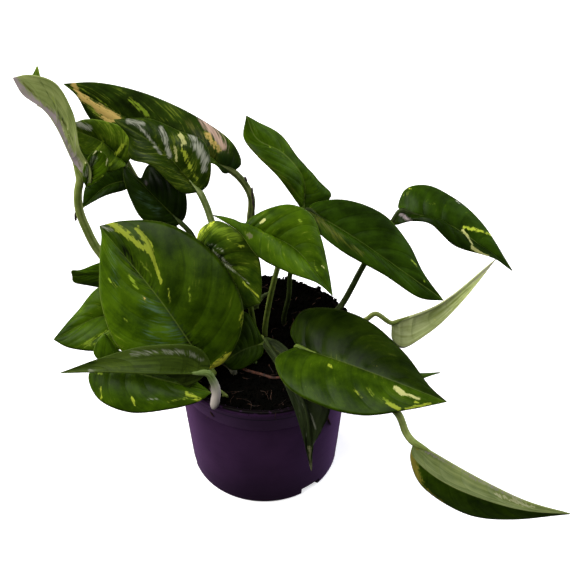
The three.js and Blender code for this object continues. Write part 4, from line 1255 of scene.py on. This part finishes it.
def pot_profile():
    """The wall's section [radius, height]: from the foot's inner edge out and round the foot as a quarter
    circle, up the outside, over the lip, and down the inside to the floor over the start."""
    lip_foot, gap_top, ledge = POT_HEIGHT - LIP_HEIGHT, FOOT_GAP["height"], COLLAR_FOOT - LEDGE_DROP
    turn = np.linspace(0, np.pi / 2, FOOT_POINTS)[:-1]
    foot = BASE_ROUNDING * np.stack([np.sin(turn), 1 - np.cos(turn)], 1) + [BASE_RADIUS - BASE_ROUNDING, 0]
    at_gap = np.interp(gap_top, [BASE_ROUNDING, ledge], [BASE_RADIUS, WALL_TOP_RADIUS])
    outside = [
        (BASE_RADIUS, BASE_ROUNDING, 0), (float(at_gap), gap_top, 0), (WALL_TOP_RADIUS, ledge, 0.12),
        (COLLAR_FOOT_RADIUS, COLLAR_FOOT, 0.3), (RIM_RADIUS - LIP_OUT, lip_foot - LIP_OUT, 0.2),
        (RIM_RADIUS, lip_foot, 0.2), (RIM_RADIUS, POT_HEIGHT, 0.8),
    ]
    inside = [
        (float(inside_radius(z)), z, rounding)
        for z, rounding in ((POT_HEIGHT, 0.5), (COLLAR_FOOT, 2), (gap_top, 0), (FLOOR, 0))
    ]
    return np.vstack([[[FOOT_INNER, 0]], foot, rounded([*outside, *inside, (FOOT_INNER, FLOOR, 0)])])


def pot_wall():
    """The turned wall: the profile at angle a becomes (r cos a, r sin a, z). In each foot gap the foot is
    left out, the wall ends in a flat face at the gap's height, and flat sections close the foot on both
    sides."""
    profile = pot_profile()
    angle = FULL_TURN * np.arange(POT_SIDES) / POT_SIDES
    r, z = profile[:, 0, None], profile[:, 1, None]
    points = np.stack([r * np.cos(angle), r * np.sin(angle), z + 0 * angle], -1).reshape(-1, 3)
    numbers = wrapped(np.arange(len(points)).reshape(len(profile), POT_SIDES))
    at_gap = np.flatnonzero(np.isclose(profile[:, 1], FOOT_GAP["height"]))
    outer, inner = at_gap[0], at_gap[-1]
    faces = skin(numbers[outer : inner + 1])
    half, step = FOOT_GAP["half_angle"], 360 / POT_SIDES
    starts = [round((degrees - half) % 360 / step) for degrees in FOOT_GAP["angles"]]
    across = round(2 * half / step)
    for start, next_start in zip(starts, starts[1:] + starts[:1]):
        gap = (start + np.arange(across + 1)) % POT_SIDES
        foot = (start + across + np.arange((next_start - start - across) % POT_SIDES + 1)) % POT_SIDES
        faces += skin(numbers[: outer + 1, foot]) + skin(numbers[inner:, foot])
        faces += skin(numbers[[inner, outer]][:, gap]) + skin(numbers[[0, -1]][:, gap])
        section = np.r_[0 : outer + 1, inner : len(profile)]
        faces += [numbers[section, gap[-1]].tolist(), numbers[section[::-1], gap[0]].tolist()]
    return points, faces


def floor_quarter(start):
    """A quarter of the floor with a drain hole in its middle. Lines run straight from the hole's edge to the
    quarter's outline, on the upper face and on the under face, and the hole's wall joins the two."""
    arc = np.radians(start + np.arange(0, 90.5, 360 / POT_SIDES))
    rim = FOOT_INNER * heading(arc)
    edge = np.linspace(1, 0, FLOOR_POINTS)[1:, None]
    outline = np.vstack([rim, rim[-1] * edge, rim[0] * edge[::-1][1:], rim[:1]])
    middle = DRAIN_OUT * heading(arc.mean())
    hole = middle + DRAIN_RADIUS * unit(outline - middle)
    out = np.array([*DRAIN_RINGS, *DRAIN_RINGS[::-1]])[:, None, None]
    height = np.repeat([FLOOR, 0], len(DRAIN_RINGS))[:, None, None] + 0 * hole[None, :, :1]
    points = np.concatenate([hole + out * (outline - hole), height], -1)
    return points.reshape(-1, 3), skin(np.arange(points[..., 0].size).reshape(points.shape[:2]))


def pot_piece():
    """The pot: the turned wall and the four quarters of its floor, welded along their edges."""
    whole = joined(pot_wall(), *(floor_quarter(start) for start in DRAIN_ANGLES))
    made = piece("nursery_pot", *welded(*whole), [pot_finish()], "pot", ["pot"])
    made.data.set_sharp_from_angle(angle=np.radians(SHARP_EDGE))
    return made


def soil_piece():
    """The peat: rings of points at the soil's height, roughened by small waves, over a plain hidden plug."""
    angle = FULL_TURN * np.arange(SOIL_SIDES) / SOIL_SIDES
    edge = inside_radius(SOIL_EDGE_HEIGHT) - SOIL_EDGE_CLEAR
    radius = edge * np.linspace(1, 0, SOIL_RINGS + 1)[:-1, None]
    x, y = radius * np.cos(angle), radius * np.sin(angle)
    rough = 0.5 * np.sin(1.3 * x + 2 * np.sin(0.9 * y)) * np.sin(1.1 * y + 1.7 * np.sin(0.8 * x))
    rough = rough + 0.3 * np.sin(2.9 * x + 1) * np.sin(3.3 * y + np.sin(2.2 * x))
    bottom = FLOOR + SOIL_CLEAR
    lower = [(inside_radius(bottom) - SOIL_BEVEL["out"], bottom)]
    lower += [(inside_radius(z) - SOIL_CLEAR, z) for z in (SOIL_BEVEL["height"], COLLAR_FOOT)]
    plug = [np.column_stack([r * heading(angle), np.full(SOIL_SIDES, z)]) for r, z in lower]
    top = np.stack([x, y, soil_height(x, y) + rough], -1).reshape(-1, 3)
    middle = [[0, 0, bottom], [0, 0, float(soil_height(0.0, 0.0))]]
    points = np.vstack([*plug, top, middle])
    numbers = wrapped(np.arange(len(points) - 2).reshape(-1, SOIL_SIDES))
    faces = skin(capped(numbers, len(points) - 2, len(points) - 1))
    return piece("peat", points, faces, [peat_finish()], "soil", ["soil"])


def drawn(chance, spread, *shape):
    """Random numbers of this shape, from the spread's first number to its second one more."""
    least, more = spread
    return least + more * chance.random(shape)


def scattered(count, chance, margin):
    """Places [x, y] spread evenly over the peat, as near the wall as margin."""
    radius = (inside_radius(SOIL_EDGE_HEIGHT) - margin) * np.sqrt(chance.random(count))
    return radius[:, None] * heading(FULL_TURN * chance.random(count))


def crumb_places(chance):
    """Places [x, y] of the crumbs: spread over the peat, banked round each foot, and along the back rim."""
    feet = [leaf[key] for leaf in LEAVES.values() for key in ("soil", "foot_soil") if key in leaf]
    feet = np.repeat(feet + [stub["soil"] for stub in OLD_SHEATHS.values()], CRUMBS_ROUND_A_FOOT, axis=0)
    turn = FULL_TURN * chance.random(len(feet))
    out = drawn(chance, FROM_FOOT, len(feet), 1)
    back_angle = np.radians(drawn(chance, BACK_DEGREES, BACK_CRUMBS))
    back = drawn(chance, BACK_OUT, BACK_CRUMBS, 1) * heading(back_angle)
    spread = scattered(SPREAD_CRUMBS, chance, CRUMB_MARGIN)
    return np.vstack([spread, feet + out * heading(turn), back])


def crumbs():
    """Peat crumbs: the twelve corners of a regular solid of twenty faces, pushed in and out at random,
    stretched, turned and laid on the peat, or on the rim where they lie so far out."""
    chance = np.random.default_rng(4)
    place = crumb_places(chance)
    count = len(place)
    g = (1 + 5**0.5) / 2
    corners = np.array([
        [-1, g, 0], [1, g, 0], [-1, -g, 0], [1, -g, 0], [0, -1, g], [0, 1, g],
        [0, -1, -g], [0, 1, -g], [g, 0, -1], [g, 0, 1], [-g, 0, -1], [-g, 0, 1],
    ]) / np.hypot(1, g)
    twenty = np.array([
        [0, 11, 5], [0, 5, 1], [0, 1, 7], [0, 7, 10], [0, 10, 11], [1, 5, 9], [5, 11, 4],
        [11, 10, 2], [10, 7, 6], [7, 1, 8], [3, 9, 4], [3, 4, 2], [3, 2, 6], [3, 6, 8],
        [3, 8, 9], [4, 9, 5], [2, 4, 11], [6, 2, 10], [8, 6, 7], [9, 8, 1],
    ])
    least, more = CRUMB_SIZE
    size = least + more * chance.random(count) ** 3
    size[SPREAD_CRUMBS:] += drawn(chance, LARGER_BANKED, count - SPREAD_CRUMBS)
    spun = np.linalg.qr(chance.normal(size=(count, 3, 3)))[0]
    spun = spun * np.sign(np.linalg.det(spun))[:, None, None]
    shape = corners * drawn(chance, CORNER_OUT, count, 12, 1)
    shape = shape * drawn(chance, CRUMB_STRETCH, count, 1, 3)
    over_rim = smooth(np.linalg.norm(place, axis=1), *ON_RIM)
    height = np.maximum(soil_height(*place.T), (POT_HEIGHT + RIM_SEAT) * over_rim) + CRUMB_SEAT * size
    middle = np.column_stack([place, height])
    points = (shape @ spun) * size[:, None, None] + middle[:, None]
    faces = (twenty[None] + 12 * np.arange(count)[:, None, None]).reshape(-1, 3).tolist()
    return piece("peat_crumbs", points.reshape(-1, 3), faces, [peat_finish()], "soil")


def fibre_bundle(name, starts, ends, sag, radius, finish, slot, seed):
    """Thin three-sided fibres, all at once: from start to end in a straight line, bowed sideways by
    sag sin(pi t) and curled by a smaller sin(2 pi t), with a radius that falls to a seventh at each end."""
    chance = np.random.default_rng(seed)
    starts, ends = np.asarray(starts, float), np.asarray(ends, float)
    count = len(starts)
    t = np.linspace(0, 1, FIBRE_STEPS)[None, :, None]
    bow, curl = (chance.normal(size=(count, 1, 3)) * [1, 1, 0.3] for _ in range(2))
    bend = bow * np.sin(np.pi * t) + 0.5 * curl * np.sin(FULL_TURN * t)
    path = starts[:, None] + (ends - starts)[:, None] * t + np.asarray(sag).reshape(-1, 1, 1) * bend
    along = unit(np.gradient(path, axis=1))
    across = unit(np.cross(along, ASKEW))
    narrowing = 1 - np.abs(2 * t[..., None] - 1) ** 6 * (1 - FIBRE_END)
    thin = np.asarray(radius).reshape(-1, 1, 1, 1) * narrowing
    points = path[:, :, None] + spokes(across, np.cross(along, across), FIBRE_SIDES) * thin
    numbers = np.arange(FIBRE_STEPS * FIBRE_SIDES).reshape(FIBRE_STEPS, FIBRE_SIDES)
    one = skin(wrapped(numbers)) + [numbers[0, ::-1].tolist(), numbers[-1].tolist()]
    faces = [[k + first * numbers.size for k in face] for first in range(count) for face in one]
    return piece(name, points.reshape(-1, 3), faces, [fibre_finish(finish)], slot)


def peat_fibres():
    """Brown fibres lying on the peat."""
    chance = np.random.default_rng(9)
    start = scattered(FIBRES, chance, FIBRE_MARGIN)
    turn = FULL_TURN * chance.random(FIBRES)
    length = drawn(chance, FIBRE_LENGTH, FIBRES)
    end = start + heading(turn) * length[:, None]
    far = np.linalg.norm(end, axis=1, keepdims=True)
    end = end * np.minimum(1, (inside_radius(SOIL_EDGE_HEIGHT) - 1) / far)
    lift = drawn(chance, FIBRE_LIFT, 2, FIBRES)
    starts = np.column_stack([start, soil_height(*start.T) + lift[0]])
    ends = np.column_stack([end, soil_height(*end.T) + lift[1]])
    radius = drawn(chance, FIBRE_RADIUS, FIBRES)
    return fibre_bundle("peat_fibres", starts, ends, FIBRE_BOW * length, radius, "peat_fibre", "soil", 5)


def on_wall(degrees, z):
    """The point of the pot's outer wall at this angle and height."""
    heights = [BASE_ROUNDING, COLLAR_FOOT, POT_HEIGHT - LIP_HEIGHT, POT_HEIGHT]
    r = np.interp(z, heights, [BASE_RADIUS, COLLAR_FOOT_RADIUS, RIM_RADIUS - LIP_OUT, RIM_RADIUS])
    return *(r * heading(np.radians(degrees))).tolist(), z


def clinging_threads():
    """Rootlets on the pot's wall, the dried sheath on two stalks and the green tips behind the club."""
    rootlets = [(on_wall(*start), on_wall(*end), bow, radius) for start, end, bow, radius in RIM_ROOTLETS]
    bundles = [
        ("rim_rootlets", rootlets, "rootlet", "soil", 21),
        ("dried_sheath", DRIED_SHEATH, "dried_sheath_skin", "old_sheath", 22),
        ("green_tips", GREEN_TIPS, "green_tip_skin", "old_sheath", 23),
    ]
    for name, threads, finish, slot, seed in bundles:
        fibre_bundle(name, *zip(*threads), finish, slot, seed)


def tapered_bar(name, way, thick, finish, slot, node):
    """A bar along a curve through the way's points, with the radius going evenly from the first to the last
    of thick."""
    share = np.linspace(0, 1, STUB_RINGS + 1)
    start, end = thick
    points, faces, _ = bar(walk(way, share)[0], start + (end - start) * share)
    return piece(name, points, faces, [fibre_finish(finish)], slot, [node])


def old_sheath(name, stub):
    """A tapered bar from its free end down into the peat."""
    way = [*stub["path"], *into_soil(stub["soil"], SHEATH_UPRIGHT)]
    return tapered_bar(f"{name}_skin", way, stub["thick"], f"{name}_skin", "old_sheath", name)


def surface_root():
    """The brown root: a tapered bar that follows the peat's height."""
    way = [[x, y, float(soil_height(x, y)) + SURFACE_ROOT["lift"]] for x, y in SURFACE_ROOT["path"]]
    return tapered_bar("root_on_peat", way, SURFACE_ROOT["thick"], "root_bark", "root", "surface_root")


# Stage


def studio():
    """A pale floor, wide soft lights over and beside the plant, and the camera at the photograph's angle."""
    scene = bpy.context.scene
    world = bpy.data.worlds.new("studio_air")
    scene.world = world
    world.use_nodes = True
    air = world.node_tree.nodes["Background"].inputs
    air["Color"].default_value, air["Strength"].default_value = WHITE, AIR_STRENGTH
    for name, strength, degrees, source, colour in SOFT_LIGHTS:
        light = bpy.data.lights.new(name, "SUN")
        light.energy, light.angle, light.color = strength, np.radians(degrees), colour
        hung = placed(name, light)
        hung.location = source
        aim = -np.array(source)
        hung.rotation_euler = (np.arctan2(np.hypot(*aim[:2]), -aim[2]), 0, np.arctan2(-aim[0], aim[1]))
        hung.visible_glossy = name == "light_over"
    lens = bpy.data.cameras.new("camera")
    lens.sensor_width, lens.lens = SENSOR, SENSOR * FOCAL_PIXELS / FRAME_PIXELS
    camera = placed("camera", lens)
    camera.location = EYE
    camera.rotation_euler = (np.radians(90 - LOOK_DOWN), 0, 0)
    scene.camera = camera
    corners = [[STAGE_REACH * x, STAGE_REACH * y, 0] for x, y in ((-1, -1), (1, -1), (1, 1), (-1, 1))]
    plain = bpy.data.meshes.new("floor")
    plain.from_pydata(corners, [], [[0, 1, 2, 3]])
    plain.materials.append(floor_finish())
    floor = placed("floor", plain)
    floor.visible_diffuse = floor.visible_glossy = False
    scene.view_settings.view_transform = "Standard"


studio()
pot_piece()
soil_piece()
crumbs()
peat_fibres()
for order, (leaf_name, leaf_table) in enumerate(LEAVES.items()):
    leaf_piece(leaf_name, leaf_table, order + 1)
for stub_name, stub_table in OLD_SHEATHS.items():
    old_sheath(stub_name, stub_table)
surface_root()
curled_lobe()
clinging_threads()
